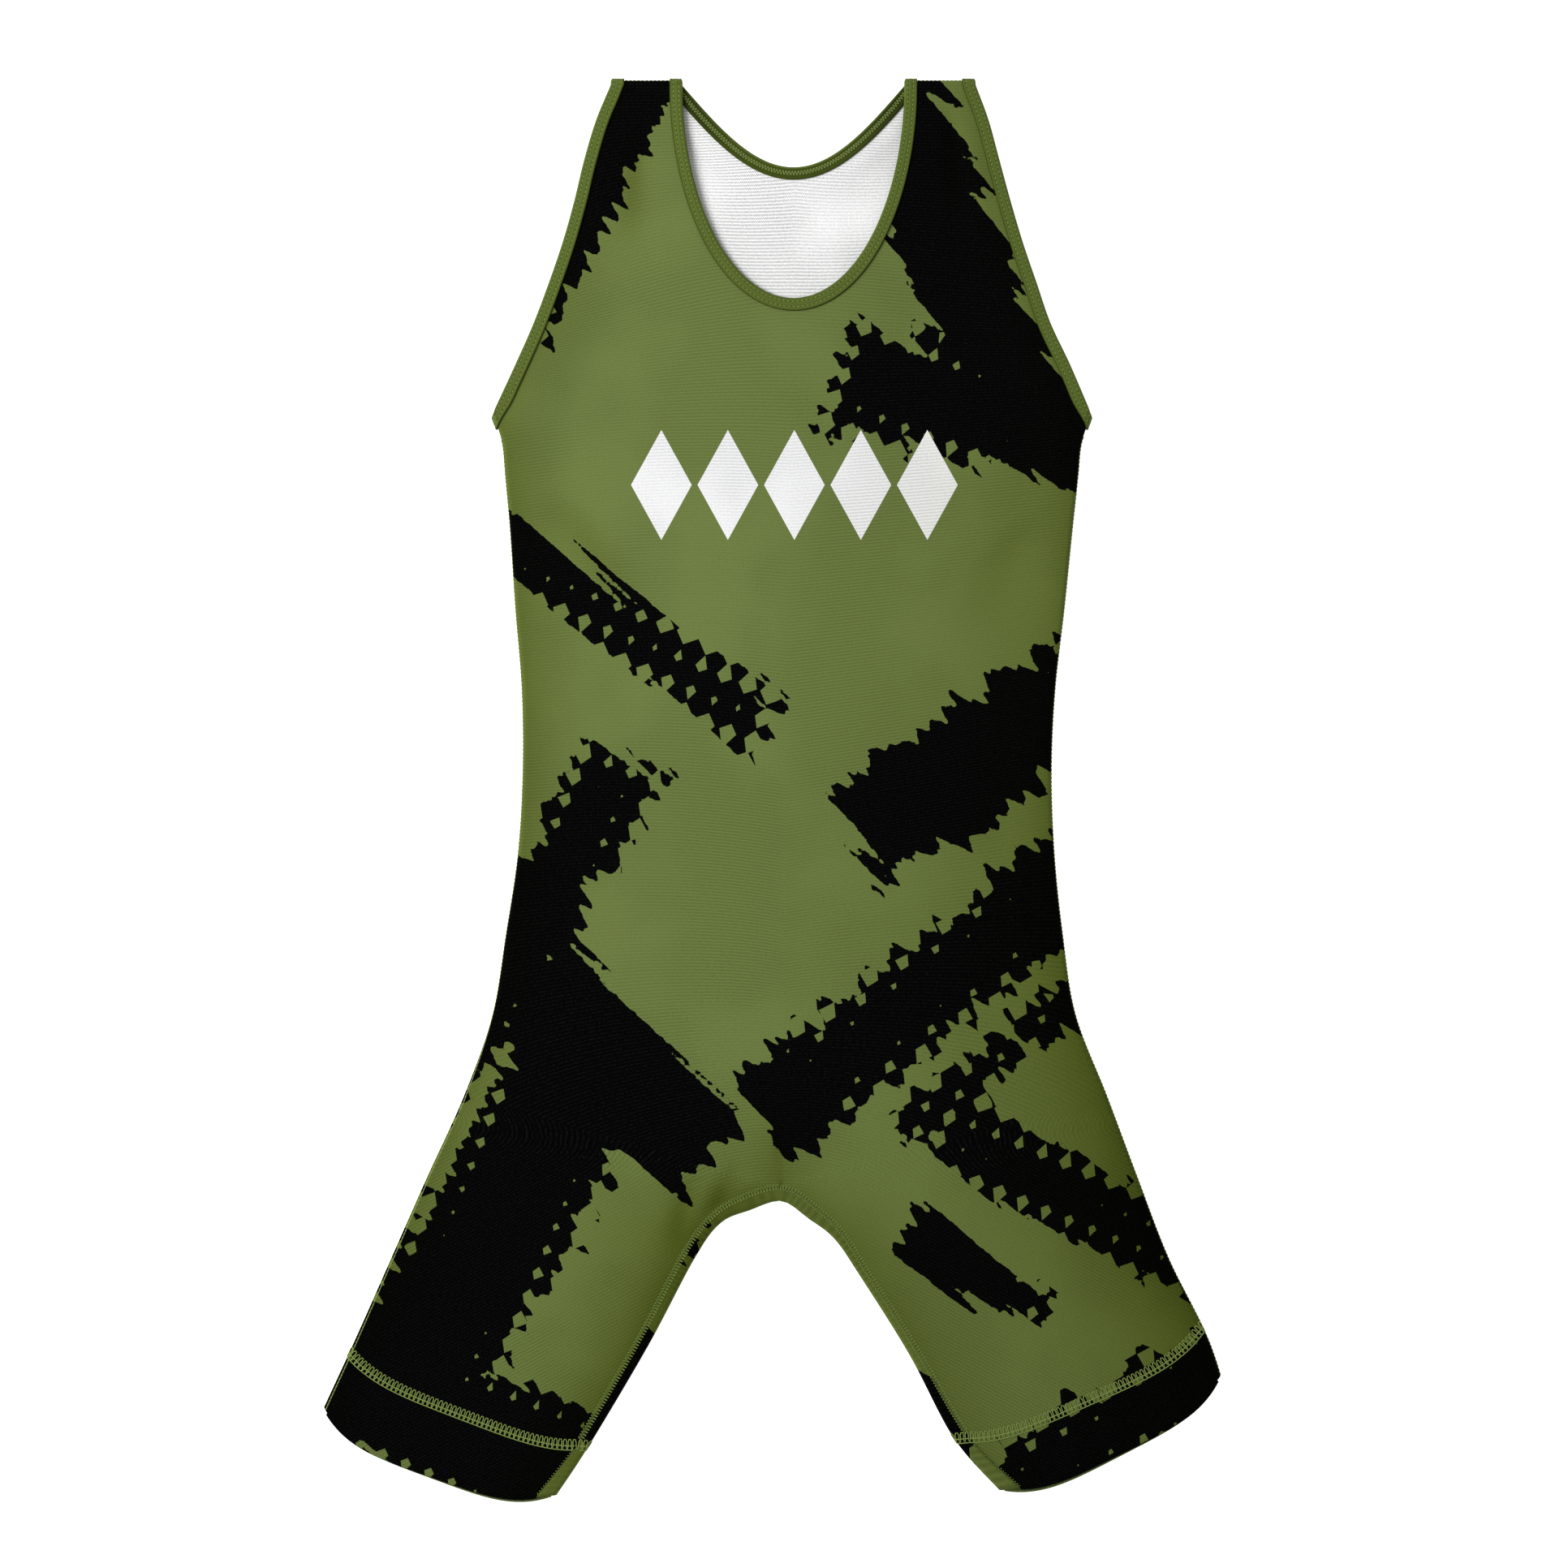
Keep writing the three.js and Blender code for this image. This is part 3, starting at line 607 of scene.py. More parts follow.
def crease_lift(points: np.ndarray, creases: tuple[Crease, ...]) -> np.ndarray:
    """Returns how far the creases raise or lower plan points.

    Args:
        points: Plan points, n by 2.
        creases: The troughs and ridges.

    Returns:
        The n height changes in millimetres.
    """
    total = np.zeros(len(points))
    for crease in creases:
        start = np.array([crease.from_x, crease.from_y], float)
        along = np.array([crease.to_x, crease.to_y], float) - start
        length = np.linalg.norm(along)
        along /= length
        offset = points - start
        t = np.clip(offset @ along / length, 0, 1)
        swerve = crease.bend * np.sin(math.pi * t)
        aside = offset @ np.array([-along[1], along[0]]) - swerve
        over = np.maximum(0, np.abs(offset @ along - length / 2) - length / 2)
        width = crease.width * (0.75 + 0.5 * t)
        total += crease.lift * np.sin(math.pi * np.clip(t * 0.94 + 0.03, 0, 1)) ** 1.2 * np.exp(
            -((aside / width) ** 2) - (over / crease.width) ** 2
        )
    return total


@dataclass
class PanelShape:
    """Builds the middle surface of one panel as grids, out of the sections of its two halves."""

    cut: Cut
    layer: Layer
    columns: int = 32
    fold_steps: int = 6
    wrap_steps: int = 12
    chest_rows: int = 14
    strap_rows: int = 34
    side_ledge: float = 1.0
    bound_ledge: float = 9.0
    front_fall: float = 30.0
    back_fall: float = 10.0
    bow_power: float = 4.0
    hem_step: float = 1.5
    end_crowding: float = 0.09
    course_arch: float = 14.0
    course_arch_reach: float = 50.0
    trough_shade: float = 0.3
    leg_turn: float = math.radians(28)
    leg_round: float = 20.0
    leg_parting: float = 60.0
    inseam_places: tuple[float, ...] = (0.35, 0.7, 1.0)

    def __post_init__(self) -> None:
        """Lays out the sections and their flat stretches."""
        layout = PanelLayout(self.cut, self.layer)
        self.sections: dict[Side, list[Section]] = {}
        self.flat: dict[Side, Grid] = {}
        for side in Side:
            sections = layout.leg(side)
            sections += layout.body(side, sections[-1].inner_flat[1])
            sections += layout.upper(side, self.chest_rows, self.strap_rows)
            self.sections[side] = sections
            self.flat[side] = self.flat_grid(side)

    def shares(self) -> np.ndarray:
        """Returns the places of the columns along a section, a little closer at its ends."""
        t = np.linspace(0, 1, self.columns + 1)
        return t - self.end_crowding * np.sin(2 * math.pi * t)

    def bound_line(self, side: Side, neck: bool) -> np.ndarray:
        """Returns the line that the panel's edge follows in the neck's or the armhole's binding."""
        steps = np.linspace(0, 1, 40)
        if neck:
            edges = [self.cut.neck_edge(self.layer, side, t) for t in steps]
            return np.array([self.cut.in_slot(edge) for edge in edges])
        heights = mix(self.cut.underarm_y, self.cut.shoulder_y, steps)
        return np.array([self.cut.in_slot(self.cut.armhole_edge(side, y)) for y in heights])

    def sagged(self, side: Side, section: Section, points: np.ndarray) -> np.ndarray:
        """Moves points toward the hem by their section's sag, the same for every layer of cloth."""
        if not isinstance(section, LegSlice) or section.bow == 0:
            return points
        across = section.inner_outline - section.outline
        share = np.clip((points[..., :2] - section.outline) @ across / (across @ across), 0, 1)
        depth = section.bow * (1 - np.abs(2 * share - 1) ** self.bow_power)
        toward_hem = unit(np.array([-side.value * across[1], side.value * across[0]]))
        moved = points.copy()
        moved[..., :2] += depth[..., None] * toward_hem
        return moved

    def flat_grid(self, side: Side) -> Grid:
        """Returns the flat stretch of every section of one half, with its heights, creases and painted
        shade.
        """
        fall = self.front_fall if self.layer is Layer.FRONT else self.back_fall
        shares = self.shares()
        armhole, neck = self.bound_line(side, False), self.bound_line(side, True)
        rows, knit = [], []
        for section in self.sections[side]:
            level = self.cut.heights(self.layer, section.station)
            length = np.linalg.norm(section.inner_flat - section.flat)
            along = (section.inner_flat - section.flat) / length
            plan = section.flat + np.outer(shares * length, along)
            near_armhole, near_neck = (
                1 - ease(self.bound_ledge, self.bound_ledge + fall, distance_to_line(plan, line))
                for line in (armhole, neck)
            )
            if section.station > UNDERARM:
                near_side, near_inner = near_armhole, near_neck
            else:
                by_side = 1 - ease(self.side_ledge, self.side_ledge + fall, shares * length)
                near_side = np.maximum(near_armhole, by_side)
                near_inner = 1 - ease(self.side_ledge, self.side_ledge + fall, (1 - shares) * length)
            total = np.maximum(near_side + near_inner, 1)
            rise = (level.side - level.middle) * near_side + (level.inner - level.middle) * near_inner
            plan = self.sagged(side, section, plan)
            rows.append(np.column_stack([plan, level.middle + rise / total]))
            if section.station <= NECK_FOOT:
                lengths = self.knit_lengths(side, section, shares, plan)
                carried = lengths - plan
            else:
                # Above the neck's foot the rows run on as they do there, and lie level at the shoulder.
                fading = 1 - ease(NECK_FOOT, SHOULDER, section.station)
                lengths = plan + carried * np.array([1, fading])
            shade = self.shade(side, section, shares * length, length)
            knit.append(np.column_stack([lengths, shade]))
        points, surface = np.array(rows), np.array(knit)
        lift = self.creased(points)
        points[..., 2] += lift
        # Painted shade in the crease troughs, darker the deeper they dip.
        surface[..., 2] *= 1 + self.trough_shade * np.minimum(lift, 0)
        return Grid(points, surface)

    def knit_lengths(
        self, side: Side, section: Section, shares: np.ndarray, plan: np.ndarray
    ) -> np.ndarray:
        """Returns the knit's wale and course lengths along a section below the neck's foot.

        Args:
            side: The half of the garment.
            section: The section.
            shares: The places along the section, from the side inward.
            plan: The plan points there.

        Returns:
            The two lengths at each point.
        """
        crotch = np.array([self.cut.crotch_x, self.cut.crotch_y])
        from_crotch = np.linalg.norm(plan - crotch, axis=1)
        lean = COURSE_LEAN[self.layer, side] * ease(0.8, 1.4, section.station)
        courses = (section.flat[1] + section.inner_flat[1]) / 2 + lean * (1 - shares) ** 2
        courses -= self.course_arch * np.exp(-((from_crotch / self.course_arch_reach) ** 2))
        wales = side.value * (1 - shares) * np.linalg.norm(section.inner_flat - section.flat)
        in_body = ease(0.7, 1.55, section.station)
        leg_wales, leg_courses = self.leg_knit(side, plan)
        return np.column_stack([mix(leg_wales, wales, in_body), mix(leg_courses, courses, in_body)])

    def leg_knit(self, side: Side, plan: np.ndarray) -> tuple[np.ndarray, np.ndarray]:
        """Returns the knit's lengths in a leg, where it has turned outward with the leg."""
        across = plan[:, 0] - self.cut.crotch_x
        away = np.sqrt(across**2 + self.leg_round**2) - self.leg_round
        up = plan[:, 1] - self.cut.crotch_y
        near_leg = ease(0, self.leg_parting, np.abs(across))
        turn_in, turn_across = math.cos(self.leg_turn), math.sin(self.leg_turn)
        wales = across * turn_in - side.value * up * turn_across * near_leg
        return wales, self.cut.crotch_y + up * turn_in + away * turn_across

    def shade(self, side: Side, section: Section, from_outer: np.ndarray, length: float) -> np.ndarray:
        """Returns the painted shade along a section: darker toward the edges of the front, where the
        cloth rounds away from the light.
        """
        if self.layer is Layer.BACK:
            return np.ones_like(from_outer)
        outer = read_shading(OUTER_SHADING[side], section.station)
        inner = read_shading(INNER_SHADING[side], section.station)
        at_outer = 1 - outer.depth * np.exp(-from_outer / outer.reach)
        return at_outer * (1 - inner.depth * np.exp(-(length - from_outer) / inner.reach))

    def creased(self, points: np.ndarray) -> np.ndarray:
        """Returns the creases' height changes, faded out at the folds and the bound edges."""
        creases = FRONT_CREASES if self.layer is Layer.FRONT else BACK_CREASES
        shape = points.shape[:2]
        plan = points[..., :2].reshape(-1, 2)
        lift = crease_lift(plan, creases).reshape(shape)
        from_side = np.linalg.norm(points[..., :2] - points[:, :1, :2], axis=2)
        stations = np.array([section.station for section in self.sections[Side.LEFT]])
        fade = ease(1, 9, from_side) * (1 - ease(SHOULDER - 0.1, SHOULDER, stations))[:, None]
        bound = stations > NECK_FOOT
        from_inner = np.linalg.norm(points[..., :2] - points[:, -1:, :2], axis=2)
        fade[bound] *= ease(4, 12, from_inner[bound])
        leg = stations <= CROTCH
        fade[leg] *= ease(0, 6, from_inner[leg])
        return lift * fade

    def side_point(self, side: Side, section: Section, fold: Fold, angle: float) -> np.ndarray:
        """Returns the point of a section that has turned round the side fold by an angle."""
        slip = 0 if section.slip is None else section.slip * math.sin(angle)
        return self.sagged(side, section, self.rounded(section.flat + slip, section.out, fold, angle))

    def rounded(self, at: np.ndarray, out: np.ndarray, fold: Fold, angle: float) -> np.ndarray:
        """Returns plan points carried round a fold by an angle, as points in space."""
        sign = 1 if self.layer is Layer.FRONT else -1
        plan = at + out * math.sin(angle) * fold.radius
        height = np.full(plan.shape[:-1], fold.centre + sign * math.cos(angle) * fold.radius)
        return np.concatenate([plan, height[..., None]], axis=-1)

    def seam_angle(self, fold: Fold) -> float:
        """Returns where the panel ends on a fold, half a seam gap short of its outermost line."""
        return math.pi / 2 - self.cut.seam_gap / 2 / fold.radius

    def side_grid(self, side: Side, angles: tuple[int, int], guide: bool) -> Grid:
        """Returns the panel's part of the side fold between two steps round it."""
        rows, knit = [], []
        folded = [section for section in self.sections[side] if section.station <= UNDERARM]
        for k, section in enumerate(folded):
            fold = self.cut.side_fold(section.station)
            turned, lengths = [], []
            for step in range(angles[0], angles[1] - 1, -1):
                angle = self.seam_angle(fold) * step / self.fold_steps
                turned.append(self.side_point(side, section, fold, angle))
                wale, course, shade = self.flat[side].knit[k, 0]
                lengths.append([wale + side.value * angle * fold.radius, course, shade])
            rows.append(turned)
            knit.append(lengths)
        return Grid(np.array(rows), np.array(knit), guide)

    def top_grid(self, side: Side, steps: range, guide: bool) -> Grid:
        """Returns the panel's part of the shoulder fold between two steps over it."""
        fold = self.cut.side_fold(SHOULDER)
        top, knit = self.flat[side].points[-1], self.flat[side].knit[-1]
        angles = [self.seam_angle(fold) * step / self.fold_steps for step in steps]
        rows = [self.rounded(top[:, :2], UP, fold, angle) for angle in angles]
        courses = [knit + np.array([0, angle * fold.radius, 0]) for angle in angles]
        return Grid(np.array(rows), np.array(courses), guide)

    def hem_grid(self, side: Side) -> Grid:
        """Returns the hem, folded inward and laid back up the leg as far as its stitching."""
        inward = -1 if self.layer is Layer.FRONT else 1
        radius = self.hem_step / 2
        hem = self.sections[side][0]
        along = unit(hem.inner_flat - hem.flat)
        down = np.array([-side.value * along[1], side.value * along[0], 0])
        flat = self.flat[side]
        turned, knit = [], []
        for step in range(self.fold_steps, 0, -1):
            angle = math.pi * step / self.fold_steps
            row = flat.points[0] + down * radius * math.sin(angle)
            row[:, 2] += inward * radius * (1 - math.cos(angle))
            turned.append(row)
            knit.append(flat.knit[0] - np.array([0, angle * radius, 0]))
        count = LEG[side][0].rows
        inside = flat.points[1:count + 1][::-1] + np.array([0, 0, inward * self.hem_step])
        inside_knit = flat.knit[1:count + 1][::-1] * np.array([1, -1, 1])
        points = np.concatenate([inside, np.array(turned), flat.points[:1]])
        return Grid(points, np.concatenate([inside_knit, np.array(knit), flat.knit[:1]]))

    def wrap_row(self, side: Side, section: LegSlice) -> np.ndarray:
        """Returns the back cloth round the inner edge of a leg, from its flat stretch to the inseam."""
        fold = self.cut.inner_fold(section.station)
        angles = [math.pi * step / self.wrap_steps for step in range(self.wrap_steps + 1)]
        row = [self.rounded(section.inner_flat, section.inner_out, fold, angle) for angle in angles]
        on_top = section.strip - fold.radius - self.cut.cloth / 2
        for share in self.inseam_places:
            end = section.inner_flat - section.inner_out * on_top * share
            row.append(np.array([*end, fold.centre + fold.radius]))
        return self.sagged(side, section, np.array(row))

    def wrap_grid(self, side: Side) -> Grid:
        """Returns the back cloth that wraps round the inner edge of the leg."""
        leg = [section for section in self.sections[side] if isinstance(section, LegSlice)]
        rows = np.array([self.wrap_row(side, section) for section in leg])
        steps = np.linalg.norm(np.diff(rows, axis=1), axis=2)
        run = np.concatenate([np.zeros((len(rows), 1)), np.cumsum(steps, axis=1)], axis=1)
        start = self.flat[side].knit[:len(rows), -1]
        courses = np.repeat(start[:, 1:2], run.shape[1], axis=1)
        # Painted shade round the wrap, as deep as the painted shade at the front's inner edge.
        inner = [read_shading(INNER_SHADING[side], section.station) for section in leg]
        depths = np.array([shading.depth for shading in inner])[:, None]
        shade = 1 - depths * ease(0.35, 0.75, np.linspace(0, 1, run.shape[1]))
        return Grid(rows, np.stack([-side.value * run, courses, shade], axis=2))

    def grids(self) -> list[tuple[Grid, bool]]:
        """Returns all grids of the panel, each with whether its faces are to be turned over."""
        found = []
        steps = self.fold_steps
        for side in Side:
            flip = (side is Side.RIGHT) != (self.layer is Layer.BACK)
            half = [
                self.flat[side],
                self.side_grid(side, (steps, 0), False),
                self.side_grid(side, (steps + 1, steps), True),
                self.top_grid(side, range(steps + 1), False),
                self.top_grid(side, range(steps, steps + 2), True),
                self.hem_grid(side),
            ]
            if self.layer is Layer.BACK:
                half.append(self.wrap_grid(side))
            found += [(grid, flip) for grid in half]
        return found

    def section_line(self, side: Side, station: float) -> np.ndarray:
        """Returns the middle of the cloth along a leg's section, from the side seam inward."""
        stations = [section.station for section in self.sections[side]]
        k = int(np.argmin(np.abs(np.array(stations) - station)))
        folded = self.side_grid(side, (self.fold_steps, 0), False).points[k]
        parts = [folded[:-1], self.flat[side].points[k]]
        if self.layer is Layer.BACK:
            parts.append(self.wrap_row(side, self.sections[side][k])[1:])
        return np.concatenate(parts)


class Face(Enum):
    """Which face of the cloth a material slot dresses."""

    OUTSIDE = 0
    INSIDE = 1


# Points of neighbouring grids that are nearer than this are one point.
WELD = 0.002


def to_frame(points: np.ndarray) -> np.ndarray:
    """Turns plan millimetres into metres in the part's frame."""
    moved = np.array(points, float)
    moved[..., :2] -= PLAN_ORIGIN
    return moved * MM


def make_object(
    name: str,
    points: np.ndarray,
    faces: list[tuple[int, ...]],
    materials: list[bpy.types.Material],
    slots: Optional[list[int]] = None,
    uv: Optional[np.ndarray] = None,
    shade: Optional[np.ndarray] = None,
    flat_from: Optional[int] = None,
) -> bpy.types.Object:
    """Makes a mesh object in the scene, with its place in its mesh.

    Args:
        name: The object's name.
        points: Vertices in plan millimetres.
        faces: Vertex numbers of each face, facing out.
        materials: The material of each slot.
        slots: The slot of each face, or none for the first slot.
        uv: The knit's wale and course lengths at each vertex, in millimetres.
        shade: The painted shade at each vertex.
        flat_from: The first face that isn't shaded smooth.

    Returns:
        The new object.
    """
    mesh = bpy.data.meshes.new(name)
    mesh.from_pydata(to_frame(points).tolist(), [], faces)
    for material in materials:
        mesh.materials.append(material)
    smooth = [flat_from is None or i < flat_from for i in range(len(faces))]
    mesh.polygons.foreach_set("use_smooth", smooth)
    if slots is not None:
        mesh.polygons.foreach_set("material_index", slots)
    if uv is not None:
        layer = mesh.uv_layers.new(name="knit")
        corners = np.empty(len(mesh.loops), dtype=np.int32)
        mesh.loops.foreach_get("vertex_index", corners)
        layer.data.foreach_set("uv", (uv[corners] * MM).ravel())
    if shade is not None:
        mesh.attributes.new("shade", "FLOAT", "POINT").data.foreach_set("value", shade)
    mesh.validate()
    mesh.update()
    made = bpy.data.objects.new(name, mesh)
    bpy.context.scene.collection.objects.link(made)
    return made


def dress(piece: bpy.types.Object, node: Optional[str] = None) -> bpy.types.Object:
    """Makes a piece ride with the garment and hides the solid that it stands for."""
    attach(piece, "root")
    if node is not None:
        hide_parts(node)
    LOG.info("%s: %d faces", piece.name, len(piece.data.polygons))
    return piece


def cloth_wall(
    name: str, grids: list[tuple[Grid, bool]], thickness: float, materials: list[bpy.types.Material]
) -> bpy.types.Object:
    """Gives a sheet of grids its thickness, with the open borders closed.

    Args:
        name: The object's name.
        grids: The grids and whether each is to be turned over.
        thickness: The cloth's thickness.
        materials: The materials of the outside and the inside.

    Returns:
        The closed cloth as one object.
    """
    points = np.concatenate([grid.points.reshape(-1, 3) for grid, _ in grids])
    knit = np.concatenate([grid.knit.reshape(-1, 3) for grid, _ in grids])
    rounded = np.round(points / WELD).astype(np.int64)
    _, first, index = np.unique(rounded, axis=0, return_index=True, return_inverse=True)
    index = index.reshape(-1)
    points, knit = points[first], knit[first]
    faces, guides, start = [], [], 0
    for grid, flip in grids:
        rows, columns = grid.points.shape[:2]
        numbers = index[start:start + rows * columns].reshape(rows, columns)
        start += rows * columns
        ring = [numbers[:-1, :-1], numbers[:-1, 1:], numbers[1:, 1:], numbers[1:, :-1]]
        quads = np.stack(ring[::-1] if flip else ring, axis=-1).reshape(-1, 4)
        (guides if grid.guide else faces).append(quads)
    faces, guides = np.concatenate(faces), np.concatenate(guides)
    normals = np.zeros_like(points)
    for quads in (faces, guides):
        across = points[quads[:, 2]] - points[quads[:, 0]]
        normal = np.cross(across, points[quads[:, 3]] - points[quads[:, 1]])
        for corner in range(4):
            np.add.at(normals, quads[:, corner], normal)
    used = np.unique(faces)
    renumber = np.full(len(points), -1)
    renumber[used] = np.arange(len(used))
    points, knit, normals = points[used], knit[used], normals[used]
    normals /= np.linalg.norm(normals, axis=1)[:, None]
    shell = np.concatenate([points + normals * thickness / 2, points - normals * thickness / 2])
    count = len(points)
    outside, inside, edges = [], [], {}
    for quad in renumber[faces]:
        corners = list(dict.fromkeys(int(v) for v in quad))
        if len(corners) < 3:
            continue
        outside.append(tuple(corners))
        inside.append(tuple(count + v for v in reversed(corners)))
        for a, b in zip(corners, corners[1:] + corners[:1]):
            if edges.pop((b, a), None) is None:
                edges[(a, b)] = True
    rim = [(b, a, count + a, count + b) for a, b in edges]
    sizes = ((Face.OUTSIDE, outside), (Face.INSIDE, inside), (Face.OUTSIDE, rim))
    slots = [face.value for face, found in sizes for _ in found]
    both = np.concatenate([knit, knit])
    made = outside + inside + rim
    smooth = len(outside) + len(inside)
    return make_object(name, shell, made, materials, slots, both[:, :2], both[:, 2], smooth)


class EdgeStation(NamedTuple):
    """A station along a binding: its edge, the ways across and out, how far it has turned, and its
    painted shade.
    """

    at: np.ndarray
    across: np.ndarray
    out: np.ndarray
    fold: Fold
    angle: float
    slip: Optional[np.ndarray] = None
    shade: float = 1.0


@dataclass
class BindingShape:
    """A folded strip that holds a panel's edge in its slot, as a closed loop of stations."""

    cut: Cut
    half: float = 1.8
    slot_half: float = 0.9
    slot_bottom: float = 1.1
    groove: float = 0.2
    groove_half_width: float = 0.55
    groove_places: tuple[float, float] = (2.0, 4.9)
    nose_reach: float = 1.25
    turn_steps: int = 14
    armhole_steps: int = 79
    front_neck_steps: int = 64
    back_neck_steps: int = 36
    # Painted shade: a shadow toward the shoulders on the back neck, and along the edge, in the grooves
    # and under the inner thread.
    shoulder_shade: float = 0.5
    edge_shade: float = 0.45
    groove_shade: float = 0.6
    inner_shade: float = 0.5

    def profile(self) -> np.ndarray:
        """Returns the cross-section: the place over the strip's width and the height over its middle."""
        width, half, slot = self.cut.binding_width, self.half, self.slot_half
        top = [(width, half - 0.35), (width - 0.25, half - 0.06), (width - 0.8, half)]
        for place in reversed(self.groove_places):
            beyond, before = place + self.groove_half_width, place - self.groove_half_width
            top += [(beyond, half), (place, half - self.groove), (before, half)]
        nose = [
            (self.nose_reach * (1 - math.sin(angle)), half * math.cos(angle))
            for angle in np.linspace(0.25, math.pi / 2, 4)
        ]
        upper = top + nose
        lower = [(over, -up) for over, up in reversed(upper[:-1])]
        bottom = self.slot_bottom
        slot_points = [(width, -slot), (bottom, -slot), (bottom, slot), (width, slot)]
        return np.array(upper + lower + slot_points)

    def profile_shade(self, profile: np.ndarray) -> np.ndarray:
        """Returns the painted shade across the cross-section: a shadow line at its edge, shade in the
        grooves, and dark gaps inside under the looped thread.
        """
        over, up = profile[:, 0], profile[:, 1]
        shade = np.where(over > self.cut.binding_width - 0.3, self.edge_shade, 1.0)
        shade[(up > 0) & (np.abs(up - self.half + self.groove) < 0.01)] = self.groove_shade
        shade[(up < -self.slot_half - 0.1) & (over > self.groove_places[0] - 0.6)] = self.inner_shade
        return shade

    def armhole(self, side: Side) -> list[EdgeStation]:
        """Returns the stations of an armhole's loop: up the front and down the back."""
        cut, fold = self.cut, self.cut.side_fold(SHOULDER)
        heights = np.linspace(cut.underarm_y, cut.shoulder_y, self.armhole_steps)
        front = [EdgeStation(*cut.armhole_edge(side, y), UP, fold, 0.0) for y in heights]
        back = [station._replace(angle=math.pi) for station in reversed(front)]
        over = self.turn(cut.armhole_edge(side, cut.shoulder_y), UP, fold, True, None)
        slip = cut.underarm_across(side) * cut.underarm_slip
        under = self.turn(
            cut.armhole_edge(side, cut.underarm_y), cut.underarm_out(side), fold, False, slip
        )
        return front + over + back + under

    def neck(self) -> list[EdgeStation]:
        """Returns the stations of the neck's loop: the front scoop, then the back neckline."""
        cut, fold = self.cut, self.cut.side_fold(SHOULDER)

        def run(layer: Layer, steps: int) -> list[EdgeStation]:
            angle = 0.0 if layer is Layer.FRONT else math.pi
            stations = []
            for k in range(-steps, steps + 1):
                t = abs(k) / steps
                height = cut.heights(layer, max(NECK_FOOT + t, NECK_FOOT + 0.001)).inner
                centre = height - math.cos(angle) * fold.radius
                edge = cut.neck_edge(layer, Side.LEFT if k < 0 else Side.RIGHT, t)
                # Painted shadow on the back binding toward the shoulders, where it lies under the
                # front's fold.
                low = float(ease(0.35, 0.95, t)) if layer is Layer.BACK else 0.0
                shade = mix(1.0, self.shoulder_shade, low)
                here = Fold(fold.radius, centre)
                stations.append(EdgeStation(*edge, UP, here, angle, shade=shade))
            return stations

        right = self.turn(cut.neck_edge(Layer.FRONT, Side.RIGHT, 1), UP, fold, True, None)
        left = self.turn(cut.neck_edge(Layer.FRONT, Side.LEFT, 1), UP, fold, False, None)
        front, back = run(Layer.FRONT, self.front_neck_steps), run(Layer.BACK, self.back_neck_steps)
        return front + right + back[::-1] + left

    def turn(
        self,
        edge: tuple[np.ndarray, np.ndarray],
        out: np.ndarray,
        fold: Fold,
        from_front: bool,
        slip: Optional[np.ndarray],
    ) -> list[EdgeStation]:
        """Returns the stations round a fold, between the flat runs."""
        shares = [k / self.turn_steps for k in range(1, self.turn_steps)]
        angles = [math.pi * (share if from_front else 1 - share) for share in shares]
        return [EdgeStation(*edge, out, fold, angle, slip) for angle in angles]

    def place(self, station: EdgeStation, over: float, up: float) -> np.ndarray:
        """Returns a point of the binding at a station, by its place in the cross-section."""
        slip = 0 if station.slip is None else station.slip * math.sin(station.angle)
        scale = np.linalg.norm(station.across) / self.cut.binding_width
        radius = station.fold.radius + up
        turned = station.out * radius * math.sin(station.angle)
        plan = station.at + slip + unit(station.across) * over * scale + turned
        return np.array([*plan, station.fold.centre + radius * math.cos(station.angle)])

    def line(self, stations: list[EdgeStation], over: float, up: float) -> np.ndarray:
        """Returns a line along the binding at one place of its cross-section."""
        return np.array([self.place(station, over, up) for station in stations])

    def build(
        self, name: str, stations: list[EdgeStation], mirrored: bool, material: bpy.types.Material
    ) -> bpy.types.Object:
        """Builds the binding's loop as one closed mesh."""
        profile = self.profile()
        size, count = len(profile), len(stations)
        points = np.concatenate([
            [self.place(station, over, up) for over, up in profile] for station in stations
        ])
        run = lengths_along(points[::size])
        around = lengths_along(profile)
        uv = np.array([[along, across] for along in run for across in around])
        shade = np.outer([station.shade for station in stations], self.profile_shade(profile)).ravel()
        faces = []
        for i in range(count):
            following = (i + 1) % count
            for j in range(size):
                beside = (j + 1) % size
                here, ahead = i * size, following * size
                quad = (here + j, here + beside, ahead + beside, ahead + j)
                faces.append(quad if mirrored else quad[::-1])
        return make_object(name, points, faces, [material], uv=uv, shade=shade)


